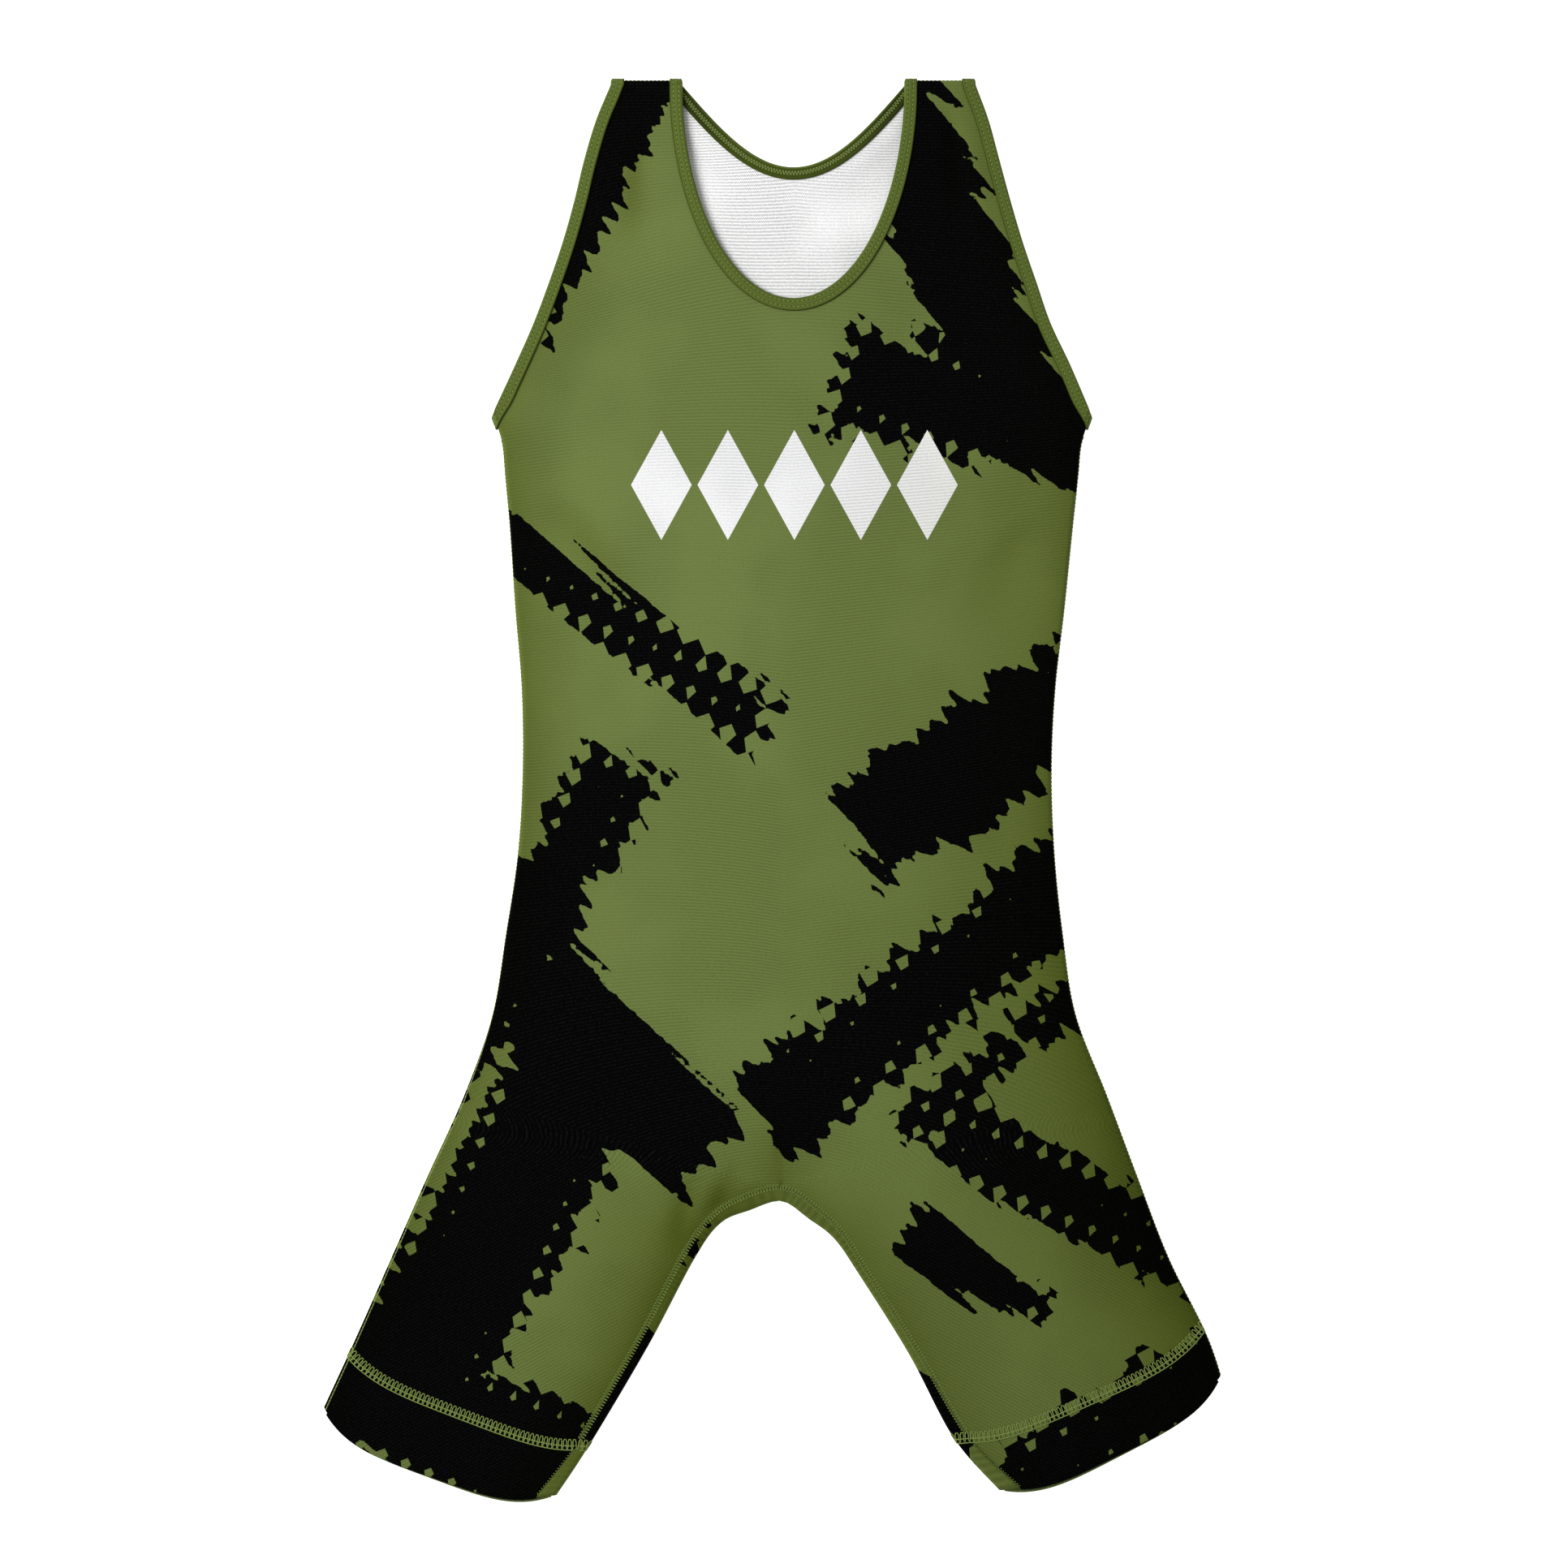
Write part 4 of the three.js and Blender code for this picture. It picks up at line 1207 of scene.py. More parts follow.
def thread_object(
    name: str,
    paths: list[tuple[np.ndarray, np.ndarray]],
    radius: float,
    material: bpy.types.Material,
    sides: int = 5,
) -> bpy.types.Object:
    """Makes threads as thin closed tubes.

    Args:
        name: The object's name.
        paths: The points of each thread and the cloth's normal at each.
        radius: The thread's radius in millimetres.
        material: The thread's material.
        sides: How many sides a tube has.

    Returns:
        All threads joined as one object.
    """
    points, faces, start = [], [], 0
    angles = np.arange(sides) * 2 * math.pi / sides
    for path, normals in paths:
        tangents = np.gradient(path, axis=0)
        beside = np.cross(tangents, normals)
        beside /= np.linalg.norm(beside, axis=1)[:, None] + 1e-12
        above = np.cross(beside, tangents)
        above /= np.linalg.norm(above, axis=1)[:, None] + 1e-12
        spokes = np.cos(angles)[:, None] * beside[:, None] + np.sin(angles)[:, None] * above[:, None]
        points.append((path[:, None] + radius * spokes).reshape(-1, 3))
        for i in range(len(path) - 1):
            for j in range(sides):
                a, b = start + i * sides + j, start + i * sides + (j + 1) % sides
                faces.append((a, a + sides, b + sides, b))
        last = start + (len(path) - 1) * sides
        faces.append(tuple(start + j for j in range(sides)))
        faces.append(tuple(last + j for j in reversed(range(sides))))
        start += len(path) * sides
    return make_object(name, np.concatenate(points), faces, [material])


# How far the threads underneath are pressed into the cloth by the garment's weight.
UNDERSIDE_SINK = 0.3


@dataclass
class SewingLine:
    """A line on the cloth that stitches follow, with the cloth's outward normal along it."""

    points: np.ndarray
    normals: np.ndarray

    def __post_init__(self) -> None:
        """Measures the line."""
        self.run = lengths_along(self.points)

    @property
    def length(self) -> float:
        """Returns the line's length in millimetres."""
        return float(self.run[-1])

    def at(
        self, along: np.ndarray, aside: np.ndarray, lift: np.ndarray
    ) -> tuple[np.ndarray, np.ndarray]:
        """Returns points beside the line, and the normals there.

        Args:
            along: Distances along the line.
            aside: Distances to the left of the line, on the cloth.
            lift: Distances out of the cloth.

        Returns:
            The points and the normals.
        """
        point, normal, tangent = (
            np.column_stack([np.interp(along, self.run, values[:, k]) for k in range(3)])
            for values in (self.points, self.normals, np.gradient(self.points, self.run, axis=0))
        )
        normal /= np.linalg.norm(normal, axis=1)[:, None]
        left = np.cross(normal, tangent)
        left /= np.linalg.norm(left, axis=1)[:, None]
        sunk = np.where(normal[:, 2] < -0.5, -UNDERSIDE_SINK, 0.0)
        return point + left * aside[:, None] + normal * (lift + sunk)[:, None], normal

    def repeat(
        self, motif: np.ndarray, pitch: float, start: float = 0.0, end: Optional[float] = None
    ) -> tuple[np.ndarray, np.ndarray]:
        """Follows a motif of (along, aside, lift) points over and over down the line, as one thread."""
        end = self.length if end is None else end
        count = max(int((end - start) / pitch), 1)
        pitch = (end - start) / count
        tile = motif * np.array([pitch, 1, 1])
        track = np.concatenate([tile + np.array([start + k * pitch, 0, 0]) for k in range(count)])
        return self.at(track[:, 0], track[:, 1], track[:, 2])

    def dashes(self, stitch: float, pitch: float, lift: float) -> list[tuple[np.ndarray, np.ndarray]]:
        """Returns single stitches along the line, each dipping into the cloth at its ends."""
        along, up = SINGLE_STITCH.T
        centres = np.arange(pitch / 2, self.length - pitch / 2, pitch)
        return [self.at(centre + along * stitch, np.zeros(len(along)), lift * up) for centre in centres]


def line_normals(points: np.ndarray, beside: np.ndarray) -> np.ndarray:
    """Returns normals along a line, square to it and to the way to a line beside it on its left."""
    normals = np.cross(np.gradient(points, axis=0), beside - points)
    return normals / (np.linalg.norm(normals, axis=1)[:, None] + 1e-12)


# Each point of a motif is its place along one pitch, its place aside in millimetres and its lift.
LADDER = np.array([
    [0.00, -2.9, 0.05],
    [0.16, -0.6, 0.12],
    [0.12, 1.6, 0.16],
    [0.30, 2.9, 0.12],
    [0.62, 2.9, 0.12],
    [0.80, 1.6, 0.16],
    [0.78, -0.6, 0.12],
    [0.94, -2.9, 0.05],
])
NEEDLE = np.array([[0.0, -2.9, 0.02], [0.5, -2.9, 0.14]])
MIDDLE_NEEDLE = np.array([[0.0, -0.6, 0.06], [0.5, -0.6, 0.2]])
INSEAM_LADDER = np.array([
    [0.00, -1.5, 0.05],
    [0.15, 1.2, 0.18],
    [0.40, 1.7, 0.12],
    [0.60, 1.2, 0.18],
    [0.80, -1.5, 0.05],
])
INSEAM_CHAIN = np.array([[0.0, -0.8, 0.05], [0.5, 0.8, 0.16]])
SINGLE_STITCH = np.array([[-0.5, -1.0], [-0.3, 0.4], [0.3, 0.4], [0.5, -1.0]])
LOOPER = np.array([
    [0.00, -1.1, 0.02],
    [0.30, 0.9, 0.16],
    [0.50, 1.2, 0.02],
    [0.80, -0.9, 0.16],
])


@dataclass
class Sewing:
    """All threads of the garment: hems, inseam, side seams, shoulders and bindings."""

    cut: Cut
    front: PanelShape
    back: PanelShape
    binding: BindingShape
    thread: float = 0.3
    fine_thread: float = 0.2
    hem_station: float = 1 / 6
    hem_pitch: float = 2.6
    hem_clearance: float = 3.4
    inseam_pitch: float = 1.7
    seam_stitch: float = 1.7
    seam_pitch: float = 2.2
    side_end: float = 1.97
    side_stitch: float = 2.1
    side_thread: float = 0.28
    side_turn: float = math.radians(27)
    hidden_turn: float = math.radians(88)
    shoulder_turn: float = math.radians(84)
    binding_stitch: float = 1.5
    binding_pitch: float = 2.5
    binding_lift: float = 0.16
    binding_thread: float = 0.17

    def raised(self, points: np.ndarray, normals: np.ndarray) -> SewingLine:
        """Moves a line from the middle of the cloth to its outer face."""
        return SewingLine(points + normals * self.cut.cloth / 2, normals)

    def hem_line(self, shape: PanelShape, side: Side) -> SewingLine:
        """Returns the line of a hem's stitching on one panel, on the outer face."""
        row = shape.section_line(side, self.hem_station)
        above = shape.section_line(side, self.hem_station + 0.02)
        if side is Side.RIGHT:
            row, above = row[::-1], above[::-1]
        outward = 1 if shape.layer is Layer.FRONT else -1
        return self.raised(row, line_normals(row, above) * outward)

    def hem_threads(self, material: bpy.types.Material) -> list[bpy.types.Object]:
        """Sews the ladder of each hem on both panels."""
        made = []
        for side in Side:
            for shape in (self.front, self.back):
                line = self.hem_line(shape, side)
                flip = np.array([1, 1 if shape.layer is Layer.FRONT else -1, 1])
                motifs = (LADDER, NEEDLE, MIDDLE_NEEDLE)
                paths = [line.repeat(motif * flip, self.hem_pitch) for motif in motifs]
                name = f"hem_stitches_{shape.layer.value}_{side.name.lower()}"
                made.append(dress(thread_object(name, paths, self.thread, material)))
        return made

    def inseam_threads(self, material: bpy.types.Material) -> list[bpy.types.Object]:
        """Sews the inseam from one hem up to the crotch and down to the other."""
        made = []
        for side in Side:
            sections = self.front.sections[side]
            leg = [k for k, section in enumerate(sections) if section.station <= CROTCH]
            flat = self.front.flat[side].points
            edge, beside = flat[leg, -1], flat[leg, -2]
            line = self.raised(edge, -side.value * line_normals(edge, beside))
            hem = float(line.run[LEG[side][0].rows])
            paths = [
                line.repeat(INSEAM_CHAIN, self.inseam_pitch, 1.0, hem - self.hem_clearance),
                line.repeat(INSEAM_LADDER, self.inseam_pitch, hem + self.hem_clearance),
            ]
            name = f"inseam_stitches_{side.name.lower()}"
            made.append(dress(thread_object(name, paths, self.fine_thread, material)))
        return made

    def side_threads(self, material: bpy.types.Material) -> list[bpy.types.Object]:
        """Sews the side seams, which show as a fine thread along the edge of the left leg."""
        made = []
        for side in Side:
            points, normals = [], []
            for section in (s for s in self.front.sections[side] if s.station <= self.side_end):
                fold = self.cut.side_fold(section.station)
                rolled = side is Side.LEFT
                share = float(ease(0.95, 1.25, section.station)) if rolled else 1.0
                angle = mix(self.side_turn, self.hidden_turn, share)
                points.append(self.front.side_point(side, section, fold, angle))
                normals.append([*(section.out * math.sin(angle)), math.cos(angle)])
            line = self.raised(np.array(points), np.array(normals))
            stitches = line.dashes(self.side_stitch, self.seam_pitch, self.side_thread)
            name = f"side_seam_stitches_{side.name.lower()}"
            made.append(dress(thread_object(name, stitches, self.side_thread, material)))
        return made

    def shoulder_threads(self, material: bpy.types.Material) -> list[bpy.types.Object]:
        """Sews the shoulder seams over the folds of the straps."""
        made = []
        for side in Side:
            fold = self.cut.side_fold(SHOULDER)
            top = self.front.flat[side].points[-1][2:-2, :2]
            points = self.front.rounded(top, UP, fold, self.shoulder_turn)
            line = self.raised(points, np.tile([0.0, 0.995, 0.1], (len(points), 1)))
            stitches = line.dashes(self.seam_stitch, self.seam_pitch, self.fine_thread)
            name = f"shoulder_seam_stitches_{side.name.lower()}"
            made.append(dress(thread_object(name, stitches, self.fine_thread, material)))
        return made

    def binding_line(self, stations: list[EdgeStation], over: float, outer: bool) -> SewingLine:
        """Returns a line of stitches along a binding, on its outer or its inner face."""
        up = self.binding.half if outer else -self.binding.half
        if outer and over in self.binding.groove_places:
            up -= self.binding.groove
        loop = [*stations, stations[0]]
        points = self.binding.line(loop, over, up)
        normals = points - self.binding.line(loop, over, 0)
        return SewingLine(points, normals / np.linalg.norm(normals, axis=1)[:, None])

    def binding_threads(
        self, name: str, stations: list[EdgeStation], material: bpy.types.Material
    ) -> bpy.types.Object:
        """Sews one binding: two rows of fine stitches outside, a looped row inside."""
        paths = []
        for over in self.binding.groove_places:
            line = self.binding_line(stations, over, True)
            paths += line.dashes(self.binding_stitch, self.binding_pitch, self.binding_lift)
        inside = self.binding_line(stations, self.cut.binding_width / 2, False)
        paths.append(inside.repeat(LOOPER, self.inseam_pitch))
        return dress(thread_object(name, paths, self.binding_thread, material, 4))


class NodeBench:
    """Places and joins the nodes of one node tree."""

    def __init__(self, tree: bpy.types.NodeTree) -> None:
        """Keeps the tree."""
        self.tree = tree

    def add(self, kind: str, **settings: object) -> bpy.types.Node:
        """Adds a node and sets its properties."""
        node = self.tree.nodes.new(kind)
        for name, value in settings.items():
            setattr(node, name, value)
        return node

    def feed(self, socket: Socket, value: object) -> None:
        """Joins a socket to another, or sets its value."""
        if isinstance(value, bpy.types.NodeSocket):
            self.tree.links.new(value, socket)
        else:
            socket.default_value = value

    def math(self, operation: str, a: Value, b: Value = 0.0, clamp: bool = False) -> Socket:
        """Adds a math node and returns its result."""
        node = self.add("ShaderNodeMath", operation=operation, use_clamp=clamp)
        self.feed(node.inputs[0], a)
        self.feed(node.inputs[1], b)
        return node.outputs[0]

    def step(self, value: Value, low: float, high: float) -> Socket:
        """Returns a smooth step of the value from low to high."""
        node = self.add("ShaderNodeMapRange", interpolation_type="SMOOTHSTEP")
        self.feed(node.inputs["Value"], value)
        node.inputs["From Min"].default_value = low
        node.inputs["From Max"].default_value = high
        return node.outputs["Result"]

    def blend(self, share: Value, a: object, b: object) -> Socket:
        """Mixes two colours."""
        node = self.add("ShaderNodeMix", data_type="RGBA")
        self.feed(node.inputs["Factor"], share)
        colours = [socket for socket in node.inputs if socket.type == "RGBA"]
        self.feed(colours[0], a)
        self.feed(colours[1], b)
        return next(socket for socket in node.outputs if socket.type == "RGBA")

    def shade(self, colour: Socket, amount: Socket) -> Socket:
        """Multiplies a colour by a value."""
        node = self.add("ShaderNodeVectorMath", operation="SCALE")
        self.feed(node.inputs[0], colour)
        self.feed(node.inputs["Scale"], amount)
        return node.outputs[0]

    def darkened_by_painted_shade(self, colour: Socket, amount: Socket) -> Socket:
        """Darkens a colour by a painted shade value, its blue once more, so that the shaded colour keeps
        its strength.
        """
        tint = self.add("ShaderNodeCombineXYZ")
        self.feed(tint.inputs[0], amount)
        self.feed(tint.inputs[1], amount)
        self.feed(tint.inputs[2], self.math("MULTIPLY", amount, amount))
        node = self.add("ShaderNodeVectorMath", operation="MULTIPLY")
        self.feed(node.inputs[0], colour)
        self.feed(node.inputs[1], tint.outputs[0])
        return node.outputs[0]

    def turned(self, vector: Socket, turn: float) -> Socket:
        """Turns a vector about Z."""
        node = self.add("ShaderNodeMapping")
        self.feed(node.inputs["Vector"], vector)
        node.inputs["Rotation"].default_value = (0, 0, turn)
        return node.outputs[0]

    def shifted(self, vector: Socket, x: float, y: float) -> Socket:
        """Moves a vector by x and y."""
        node = self.add("ShaderNodeVectorMath", operation="ADD")
        self.feed(node.inputs[0], vector)
        node.inputs[1].default_value = (x, y, 0)
        return node.outputs[0]

    def stretched(self, vector: Socket, x: float, y: float) -> Socket:
        """Multiplies a vector's x and y."""
        node = self.add("ShaderNodeVectorMath", operation="MULTIPLY")
        self.feed(node.inputs[0], vector)
        node.inputs[1].default_value = (x, y, 1)
        return node.outputs[0]

    def noise(self, vector: Socket, scale: float, detail: float) -> Socket:
        """Adds a plane noise and returns its value."""
        node = self.add("ShaderNodeTexNoise", noise_dimensions="2D")
        self.feed(node.inputs["Vector"], vector)
        node.inputs["Scale"].default_value = scale
        node.inputs["Detail"].default_value = detail
        return node.outputs[0]

    def split(self, vector: Socket) -> tuple[Socket, Socket]:
        """Returns the first two parts of a vector."""
        node = self.add("ShaderNodeSeparateXYZ")
        self.feed(node.inputs[0], vector)
        return node.outputs[0], node.outputs[1]

    def plain(self, colour: Colour) -> Socket:
        """Returns a plain colour."""
        node = self.add("ShaderNodeRGB")
        node.outputs[0].default_value = (*colour, 1.0)
        return node.outputs[0]


def new_group(
    name: str, inputs: dict[str, float], outputs: dict[str, str]
) -> tuple[bpy.types.NodeTree, NodeBench]:
    """Makes an empty shader node group.

    Args:
        name: The group's name.
        inputs: The names and values of its number inputs.
        outputs: The names and socket kinds of its outputs.

    Returns:
        The group and a bench for its nodes.
    """
    tree = bpy.data.node_groups.new(name, "ShaderNodeTree")
    tree.interface.new_socket("Vector", in_out="INPUT", socket_type="NodeSocketVector")
    for label, value in inputs.items():
        socket = tree.interface.new_socket(label, in_out="INPUT", socket_type="NodeSocketFloat")
        socket.default_value = value
    for label, kind in outputs.items():
        tree.interface.new_socket(label, in_out="OUTPUT", socket_type=kind)
    return tree, NodeBench(tree)


@dataclass(frozen=True)
class KnitEffect:
    """The fine courses and wales of the knit, from lengths in metres.

    It gives a height, a shade, and how much lighter a dark print looks on the top of each loop: partly
    the print worn thin, partly a painted glint.
    """

    course: float = 0.0017
    wale: float = 0.0011
    loop_lean: float = 0.9
    loop_notch: float = 0.35
    height: float = 0.00016
    patch_scale: float = 14.0
    speck_scale: float = 900.0
    speck_share: float = 0.8

    def build(self) -> bpy.types.NodeTree:
        """Builds the node group."""
        results = {"Height": "NodeSocketFloat", "Shade": "NodeSocketFloat", "WearAndGlint": "NodeSocketFloat"}
        tree, bench = new_group("knit_relief", {"Strength": 0.1}, results)
        given, result = bench.add("NodeGroupInput"), bench.add("NodeGroupOutput")
        wale, course = bench.split(given.outputs["Vector"])
        turn = 2 * math.pi
        across = bench.math("SINE", bench.math("MULTIPLY", wale, turn / self.wale))
        lean = bench.math("MULTIPLY", across, self.loop_lean)
        phase = bench.math("ADD", bench.math("MULTIPLY", course, turn / self.course), lean)
        down = bench.math("SINE", phase)
        rows = bench.math("MULTIPLY_ADD", down, 0.5)
        rows.node.inputs[2].default_value = 0.5
        notch = bench.math("MULTIPLY", across, across)
        loops = bench.math("MULTIPLY_ADD", notch, -self.loop_notch)
        bench.feed(loops.node.inputs[2], rows)
        strength = given.outputs["Strength"]
        patch = bench.step(bench.noise(given.outputs["Vector"], self.patch_scale, 2.0), 0.3, 0.62)
        fine = bench.noise(given.outputs["Vector"], self.speck_scale, 1.0)
        uneven = bench.math("ADD", bench.math("MULTIPLY", patch, 0.75), 0.35)
        depth = bench.math("MULTIPLY", strength, uneven)
        darker = bench.math("MULTIPLY", bench.math("SUBTRACT", 1.0, rows), depth)
        speck_depth = bench.math("MULTIPLY", strength, self.speck_share)
        speck = bench.math("MULTIPLY", bench.math("SUBTRACT", fine, 0.5), speck_depth)
        shade = bench.math("ADD", bench.math("SUBTRACT", 1.0, darker), speck)
        bench.feed(result.inputs["Height"], bench.math("MULTIPLY", loops, self.height))
        bench.feed(result.inputs["Shade"], shade)
        tops = bench.math("MULTIPLY", rows, rows)
        # Lighter loop tops for the dark print: partly the print worn thin, partly painted glint.
        bench.feed(result.inputs["WearAndGlint"], bench.math("MULTIPLY", tops, bench.step(fine, 0.25, 0.75)))
        return tree


class Shard(NamedTuple):
    """A slanted dark patch of the print, in metres in the part's frame."""

    x: float
    y: float
    turn: float
    half_length: float
    half_width: float


SHARDS = (
    Shard(-0.098, 0.335, 64, 0.092, 0.021),
    Shard(0.095, 0.300, -66, 0.120, 0.028),
    Shard(0.118, 0.205, -14, 0.086, 0.030),
    Shard(-0.086, 0.092, -36, 0.100, 0.015),
    Shard(0.125, 0.026, 34, 0.100, 0.031),
    Shard(0.084, -0.110, 38, 0.118, 0.027),
    Shard(0.136, -0.134, 38, 0.090, 0.013),
    Shard(-0.135, -0.075, 58, 0.110, 0.024),
    Shard(-0.082, -0.148, -42, 0.070, 0.030),
    Shard(-0.148, -0.235, 60, 0.105, 0.040),
    Shard(0.165, -0.222, -28, 0.085, 0.021),
    Shard(0.112, -0.262, -28, 0.045, 0.012),
    Shard(-0.185, -0.338, -25, 0.120, 0.038),
    Shard(0.180, -0.348, 33, 0.110, 0.024),
)


@dataclass(frozen=True)
class PrintEffect:
    """An abstract two-colour print: slanted shards with torn ends and fading lozenges."""

    streak_turn: float = math.radians(-42)
    streak_reach: float = 0.034
    tear_reach: float = 0.006
    lozenge_turn: float = math.radians(22)
    lozenge_pitch: float = 0.0135
    lozenge_fade: float = 0.036
    lozenge_squash: float = 1.25
    lozenge_size: float = 0.52

    def build(self) -> bpy.types.NodeTree:
        """Builds the node group."""
        tree, bench = new_group("abstract_print", {}, {"Dark": "NodeSocketFloat"})
        given, result = bench.add("NodeGroupInput"), bench.add("NodeGroupOutput")
        place = given.outputs["Vector"]
        depth = self.shards(bench, place)
        torn = bench.math("ADD", depth, self.tears(bench, place))
        dark = bench.step(torn, -0.0002, 0.0002)
        lozenges = self.lozenges(bench, place, depth)
        kept = bench.math("SUBTRACT", 1.0, lozenges)
        bench.feed(result.inputs["Dark"], bench.math("MULTIPLY", dark, kept, clamp=True))
        return tree

    def shards(self, bench: NodeBench, place: Socket) -> Socket:
        """Returns how deep a place lies inside the nearest shard, below 0 outside."""
        depth: Optional[Socket] = None
        for shard in SHARDS:
            centred = bench.shifted(place, -shard.x, -shard.y)
            along, across = bench.split(bench.turned(centred, -math.radians(shard.turn)))
            end = bench.math("SUBTRACT", shard.half_length, bench.math("ABSOLUTE", along))
            edge = bench.math("SUBTRACT", shard.half_width, bench.math("ABSOLUTE", across))
            inside = bench.math("MINIMUM", end, edge)
            depth = inside if depth is None else bench.math("MAXIMUM", depth, inside)
        return depth

    def tears(self, bench: NodeBench, place: Socket) -> Socket:
        """Returns streaks and small tears that move the shards' borders in and out."""
        turned = bench.turned(place, -self.streak_turn)
        streaks = bench.noise(bench.stretched(turned, 7, 120), 1.0, 1.0)
        streak = bench.math("MULTIPLY", bench.math("SUBTRACT", streaks, 0.5), self.streak_reach)
        crumbs = bench.noise(place, 210.0, 2.0)
        crumb = bench.math("MULTIPLY", bench.math("SUBTRACT", crumbs, 0.5), self.tear_reach)
        return bench.math("ADD", streak, crumb)

    def lozenges(self, bench: NodeBench, place: Socket, depth: Socket) -> Socket:
        """Returns lozenges that grow toward the shards' borders, in some patches of the cloth."""
        parts = []
        for value in bench.split(bench.turned(place, self.lozenge_turn)):
            cell = bench.math("FRACT", bench.math("DIVIDE", value, self.lozenge_pitch))
            parts.append(bench.math("ABSOLUTE", bench.math("SUBTRACT", cell, 0.5)))
        away = bench.math("ADD", bench.math("MULTIPLY", parts[0], self.lozenge_squash), parts[1])
        fade = bench.math("DIVIDE", depth, self.lozenge_fade)
        size = bench.math("SUBTRACT", self.lozenge_size, fade)
        shown = bench.step(bench.noise(bench.shifted(place, 0.7, 0.2), 6.5, 0.0), 0.47, 0.56)
        grown = bench.math("MULTIPLY", size, shown)
        return bench.step(bench.math("SUBTRACT", grown, away), -0.01, 0.01)


@dataclass(frozen=True)
class ChestMotif:
    """A plain row of white lozenges across the chest."""

    centre_x: float = 0.0120
    centre_y: float = 0.1650
    half_width: float = 0.0900
    half_height: float = 0.0300
    half_lozenge: float = 0.46
    count: int = 5

    def build(self) -> bpy.types.NodeTree:
        """Builds the node group."""
        tree, bench = new_group("chest_motif", {}, {"White": "NodeSocketFloat"})
        given, result = bench.add("NodeGroupInput"), bench.add("NodeGroupOutput")
        x, y = bench.split(given.outputs["Vector"])
        from_centre = bench.math("SUBTRACT", x, self.centre_x)
        pitch = 2 * self.half_width / self.count
        cell = bench.math("FRACT", bench.math("ADD", bench.math("DIVIDE", from_centre, pitch), 0.5))
        aside = bench.math("ABSOLUTE", bench.math("SUBTRACT", cell, 0.5))
        above = bench.math("ABSOLUTE", bench.math("SUBTRACT", y, self.centre_y))
        across = bench.math("DIVIDE", aside, self.half_lozenge)
        upward = bench.math("DIVIDE", above, self.half_height)
        diamond = bench.step(bench.math("ADD", across, upward), 1.0, 0.985)
        from_middle, end = bench.math("ABSOLUTE", from_centre), self.half_width
        within = bench.step(from_middle, end, end - 0.0001)
        bench.feed(result.inputs["White"], bench.math("MULTIPLY", diamond, within))
        return tree


@dataclass(frozen=True)
class Effects:
    """The node groups that the finishes share."""

    knit: bpy.types.NodeTree
    printed: bpy.types.NodeTree
    motif: bpy.types.NodeTree


def new_material(name: str) -> tuple[bpy.types.Material, bpy.types.Node, NodeBench]:
    """Makes a material and returns it with its Principled shader and a bench for its nodes."""
    material = bpy.data.materials.new(name)
    material.use_nodes = True
    nodes = material.node_tree.nodes
    shader = next(node for node in nodes if node.type == "BSDF_PRINCIPLED")
    return material, shader, NodeBench(material.node_tree)


@dataclass(frozen=True)
class KnitFinish:
    """A dyed or printed knit surface."""

    name: str
    colour: Colour
    roughness: float
    relief: float
    print_colour: Optional[Colour] = None
    print_turn: float = 0.0
    # The lighter grey of the dark print's loop tops: partly wear, partly painted glint.
    wear_and_glint_colour: Colour = (0.0058, 0.0060, 0.0056)
    motif_colour: Optional[Colour] = None
    shine: float = 0.02
    # Whether the painted shade attribute darkens the colour.
    shaded: bool = False
    bump: float = 0.55

    def build(self, effects: Effects) -> bpy.types.Material:
        """Builds the material from the shared effects."""
        material, shader, bench = new_material(self.name)
        lengths = bench.add("ShaderNodeUVMap", uv_map="knit").outputs[0]
        relief = bench.add("ShaderNodeGroup", node_tree=effects.knit)
        bench.feed(relief.inputs["Vector"], lengths)
        relief.inputs["Strength"].default_value = self.relief
        place = bench.add("ShaderNodeTexCoord").outputs["Object"]
        tone = bench.math("ADD", bench.math("MULTIPLY", bench.noise(place, 6.0, 2.0), 0.16), 0.92)
        colour = bench.shade(bench.plain(self.colour), tone)
        if self.print_colour is not None:
            group = bench.add("ShaderNodeGroup", node_tree=effects.printed)
            bench.feed(group.inputs["Vector"], bench.turned(place, self.print_turn))
            # The dark print turns toward a lighter grey on its loop tops: partly wear, partly painted
            # glint.
            full, wear_and_glint = (*self.print_colour, 1.0), (*self.wear_and_glint_colour, 1.0)
            dark = bench.blend(relief.outputs["WearAndGlint"], full, wear_and_glint)
            colour = bench.blend(group.outputs["Dark"], colour, dark)
        if self.motif_colour is not None:
            white = bench.add("ShaderNodeGroup", node_tree=effects.motif)
            bench.feed(white.inputs["Vector"], place)
            colour = bench.blend(white.outputs["White"], colour, (*self.motif_colour, 1.0))
        colour = bench.shade(colour, relief.outputs["Shade"])
        # Painted shade from the mesh's shade attribute darkens the colour, its blue the more.
        if self.shaded:
            painted_shade = bench.add("ShaderNodeAttribute", attribute_type="GEOMETRY", attribute_name="shade")
            colour = bench.darkened_by_painted_shade(colour, painted_shade.outputs["Fac"])
        bench.feed(shader.inputs["Base Color"], colour)
        shader.inputs["Roughness"].default_value = self.roughness
        shader.inputs["Specular IOR Level"].default_value = self.shine
        bump = bench.add("ShaderNodeBump")
        bump.inputs["Strength"].default_value = self.bump
        bump.inputs["Distance"].default_value = 1.0
        bench.feed(bump.inputs["Height"], relief.outputs["Height"])
        bench.feed(shader.inputs["Normal"], bump.outputs[0])
        return material


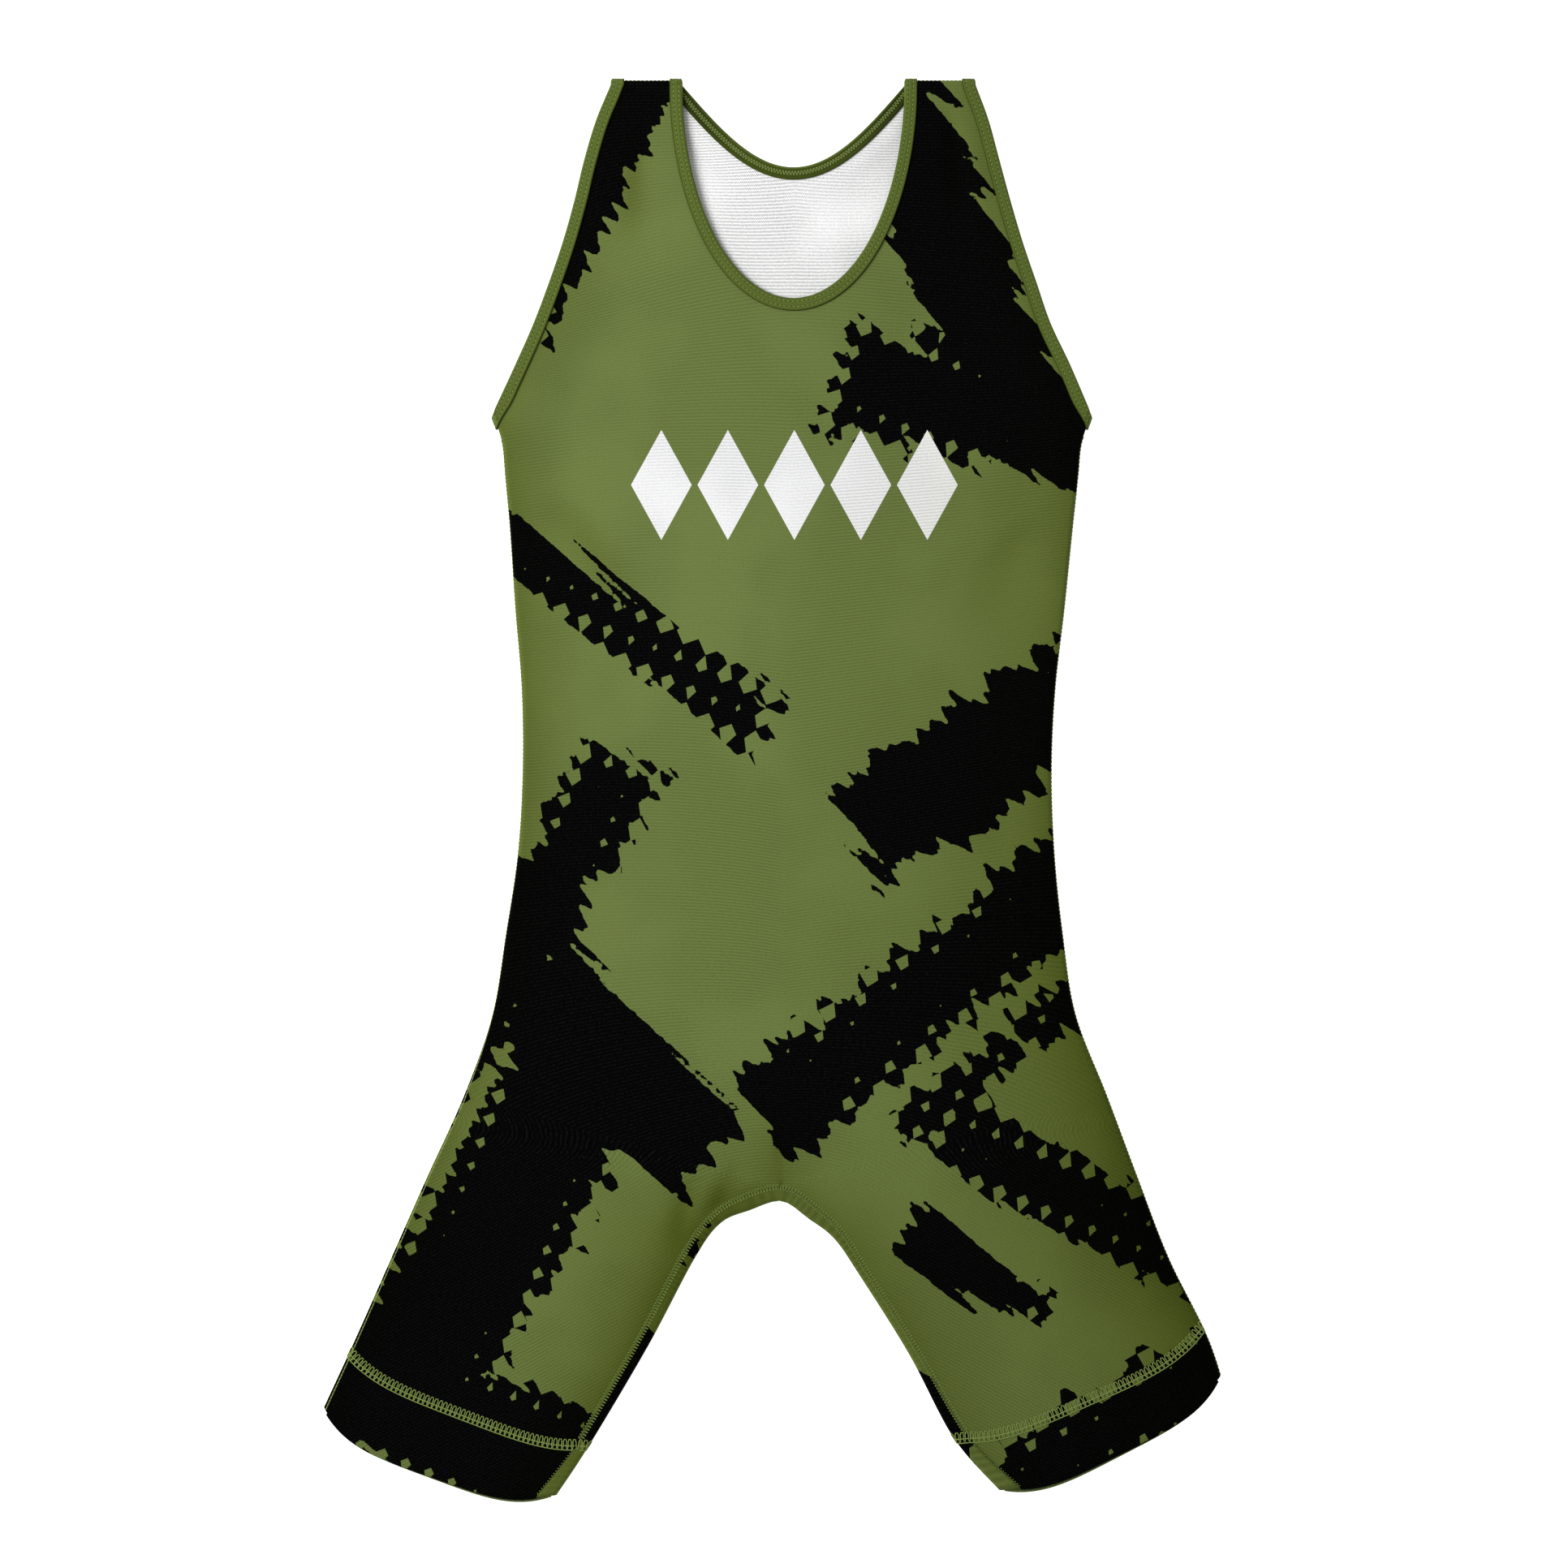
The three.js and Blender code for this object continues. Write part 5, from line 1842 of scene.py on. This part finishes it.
@dataclass(frozen=True)
class ThreadFinish:
    """Twisted sewing thread."""

    name: str
    colour: Colour
    roughness: float = 0.5
    shine: float = 0.12
    twist_scale: float = 1600.0
    twist_share: float = 0.7
    darkest: float = 0.62

    def build(self) -> bpy.types.Material:
        """Builds the material."""
        material, shader, bench = new_material(self.name)
        place = bench.add("ShaderNodeTexCoord").outputs["Object"]
        ply = bench.noise(place, self.twist_scale, 1.0)
        tone = bench.math("ADD", bench.math("MULTIPLY", ply, self.twist_share), self.darkest)
        bench.feed(shader.inputs["Base Color"], bench.shade(bench.plain(self.colour), tone))
        shader.inputs["Roughness"].default_value = self.roughness
        shader.inputs["Specular IOR Level"].default_value = self.shine
        return material


OLIVE = (0.154, 0.203, 0.056)
BLACK = (0.0008, 0.0008, 0.0010)
PRINTED_FRONT = KnitFinish(
    "printed_outside", OLIVE, 0.8, 0.26, BLACK, motif_colour=(0.90, 0.90, 0.91), shaded=True
)
PRINTED_BACK = KnitFinish("printed_outside_back", OLIVE, 0.8, 0.26, BLACK, math.pi, shaded=True)
WHITE_REVERSE = KnitFinish("white_reverse", (0.99, 0.99, 0.99), 0.85, 0.42)
BINDING_KNIT = KnitFinish("binding_knit", (0.098, 0.137, 0.023), 0.7, 0.12, shine=0.1, shaded=True)
SEWING_THREAD = ThreadFinish("sewing_thread", (0.225, 0.30, 0.075))
INSEAM_THREAD = ThreadFinish("inseam_thread", (0.20, 0.275, 0.06))
BINDING_THREAD = ThreadFinish("binding_thread", (0.27, 0.36, 0.10))


@dataclass(frozen=True)
class FloorFinish:
    """A plain pale floor that glows enough to look even."""

    colour: Colour = (0.93, 0.93, 0.93)
    roughness: float = 0.9
    shine: float = 0.1
    glow: float = 0.8

    def build(self) -> bpy.types.Material:
        """Builds the material."""
        material, shader, _ = new_material("pale_floor")
        shader.inputs["Base Color"].default_value = (*self.colour, 1)
        shader.inputs["Roughness"].default_value = self.roughness
        shader.inputs["Specular IOR Level"].default_value = self.shine
        shader.inputs["Emission Color"].default_value = (1, 1, 1, 1)
        shader.inputs["Emission Strength"].default_value = self.glow
        return material


@dataclass(frozen=True)
class Studio:
    """A pale floor, soft light from the left and a long lens straight above."""

    photo_width: float = 0.850
    centre_x: float = 0.0064
    centre_y: float = 0.0031
    camera_height: float = 2.6
    sensor_width: float = 36.0
    floor_size: float = 6.0
    floor_drop: float = 0.0004
    lamp_place: tuple[float, float, float] = (-1.05, 0.45, 1.25)
    lamp_target: tuple[float, float, float] = (-0.10, 0.05, 0.0)
    lamp_size: float = 0.9
    lamp_power: float = 26.0
    room_light: float = 0.40

    def build(self) -> None:
        """Builds the floor, the light, the world and the camera."""
        self.floor()
        self.light()
        self.world()
        self.camera()
        scene = bpy.context.scene
        scene.view_settings.view_transform = "Standard"
        scene.view_settings.look = "None"

    def floor(self) -> None:
        """Lays a plain pale floor."""
        bpy.ops.object.select_all(action="DESELECT")
        bpy.ops.mesh.primitive_plane_add(size=self.floor_size, location=(0, 0, -self.floor_drop))
        bpy.ops.object.transform_apply(location=True, rotation=True, scale=True)
        floor = bpy.context.object
        floor.name = "floor"
        floor.data.materials.append(FloorFinish().build())

    def light(self) -> None:
        """Hangs a square soft light that faces a point of the garment."""
        lamp = bpy.data.lights.new("window_light", "AREA")
        lamp.energy = self.lamp_power
        lamp.size = self.lamp_size
        holder = bpy.data.objects.new("window_light", lamp)
        bpy.context.scene.collection.objects.link(holder)
        holder.location = self.lamp_place
        direction = np.array(self.lamp_target) - np.array(self.lamp_place)
        holder.rotation_mode = "QUATERNION"
        holder.rotation_quaternion = Vector(direction).to_track_quat("-Z", "Y")

    def world(self) -> None:
        """Surrounds the scene with even pale light."""
        world = bpy.data.worlds.new("pale_room")
        bpy.context.scene.world = world
        world.use_nodes = True
        background = next(node for node in world.node_tree.nodes if node.type == "BACKGROUND")
        background.inputs["Color"].default_value = (1, 1, 1, 1)
        background.inputs["Strength"].default_value = self.room_light

    def camera(self) -> None:
        """Sets a long lens straight above, framed as the photograph is."""
        data = bpy.data.cameras.new("camera")
        data.sensor_width = self.sensor_width
        data.lens = data.sensor_width * self.camera_height / self.photo_width
        holder = bpy.data.objects.new("camera", data)
        bpy.context.scene.collection.objects.link(holder)
        holder.location = (self.centre_x, self.centre_y, self.camera_height)
        bpy.context.scene.camera = holder


@dataclass
class Singlet:
    """The whole garment: two panels, three bindings and their sewing."""

    cut: Cut
    front_flat: tuple[float, float] = (0.49, 0.80)
    back_flat: tuple[float, float] = (0.50, 0.80)
    front_area: float = 0.2195
    back_area: float = 0.2330
    strip_width: float = 0.0155

    def build(self) -> None:
        """Builds and dresses every piece."""
        effects = Effects(KnitEffect().build(), PrintEffect().build(), ChestMotif().build())
        white = WHITE_REVERSE.build(effects)
        front = PanelShape(self.cut, Layer.FRONT)
        back = PanelShape(self.cut, Layer.BACK)
        front_faces = [PRINTED_FRONT.build(effects), white]
        back_faces = [PRINTED_BACK.build(effects), white]
        front_cloth = cloth_wall("front_cloth", front.grids(), self.cut.cloth, front_faces)
        back_cloth = cloth_wall("back_cloth", back.grids(), self.cut.cloth, back_faces)
        dress(front_cloth, "front_panel")
        dress(back_cloth, "back_panel")
        binding = BindingShape(self.cut)
        sewing = Sewing(self.cut, front, back, binding)
        strip, binding_thread = BINDING_KNIT.build(effects), BINDING_THREAD.build()
        loops = [("neck_binding", "neck_band", binding.neck(), False)]
        for side in Side:
            name, mirrored = side.name.lower(), side is Side.LEFT
            loop = binding.armhole(side)
            loops.append((f"armhole_binding_{name}", f"armhole_band_{name}", loop, mirrored))
        for node, name, stations, mirrored in loops:
            band = dress(binding.build(name, stations, mirrored, strip), node)
            sewing.binding_threads(f"{name}_stitches", stations, binding_thread)
        thread = SEWING_THREAD.build()
        sewing.hem_threads(thread)
        sewing.inseam_threads(INSEAM_THREAD.build())
        sewing.side_threads(thread)
        sewing.shoulder_threads(thread)


def corners(box: tuple) -> list[list[float]]:
    """Returns a box's two corners as plain lists."""
    return [[float(value) for value in corner] for corner in box]


def main() -> None:
    """Builds the garment and the studio."""
    logging.basicConfig(level=logging.INFO, format="%(name)s: %(message)s")
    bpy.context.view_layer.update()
    Studio().build()
    Singlet(Cut()).build()


if __name__ == "__main__":
    main()
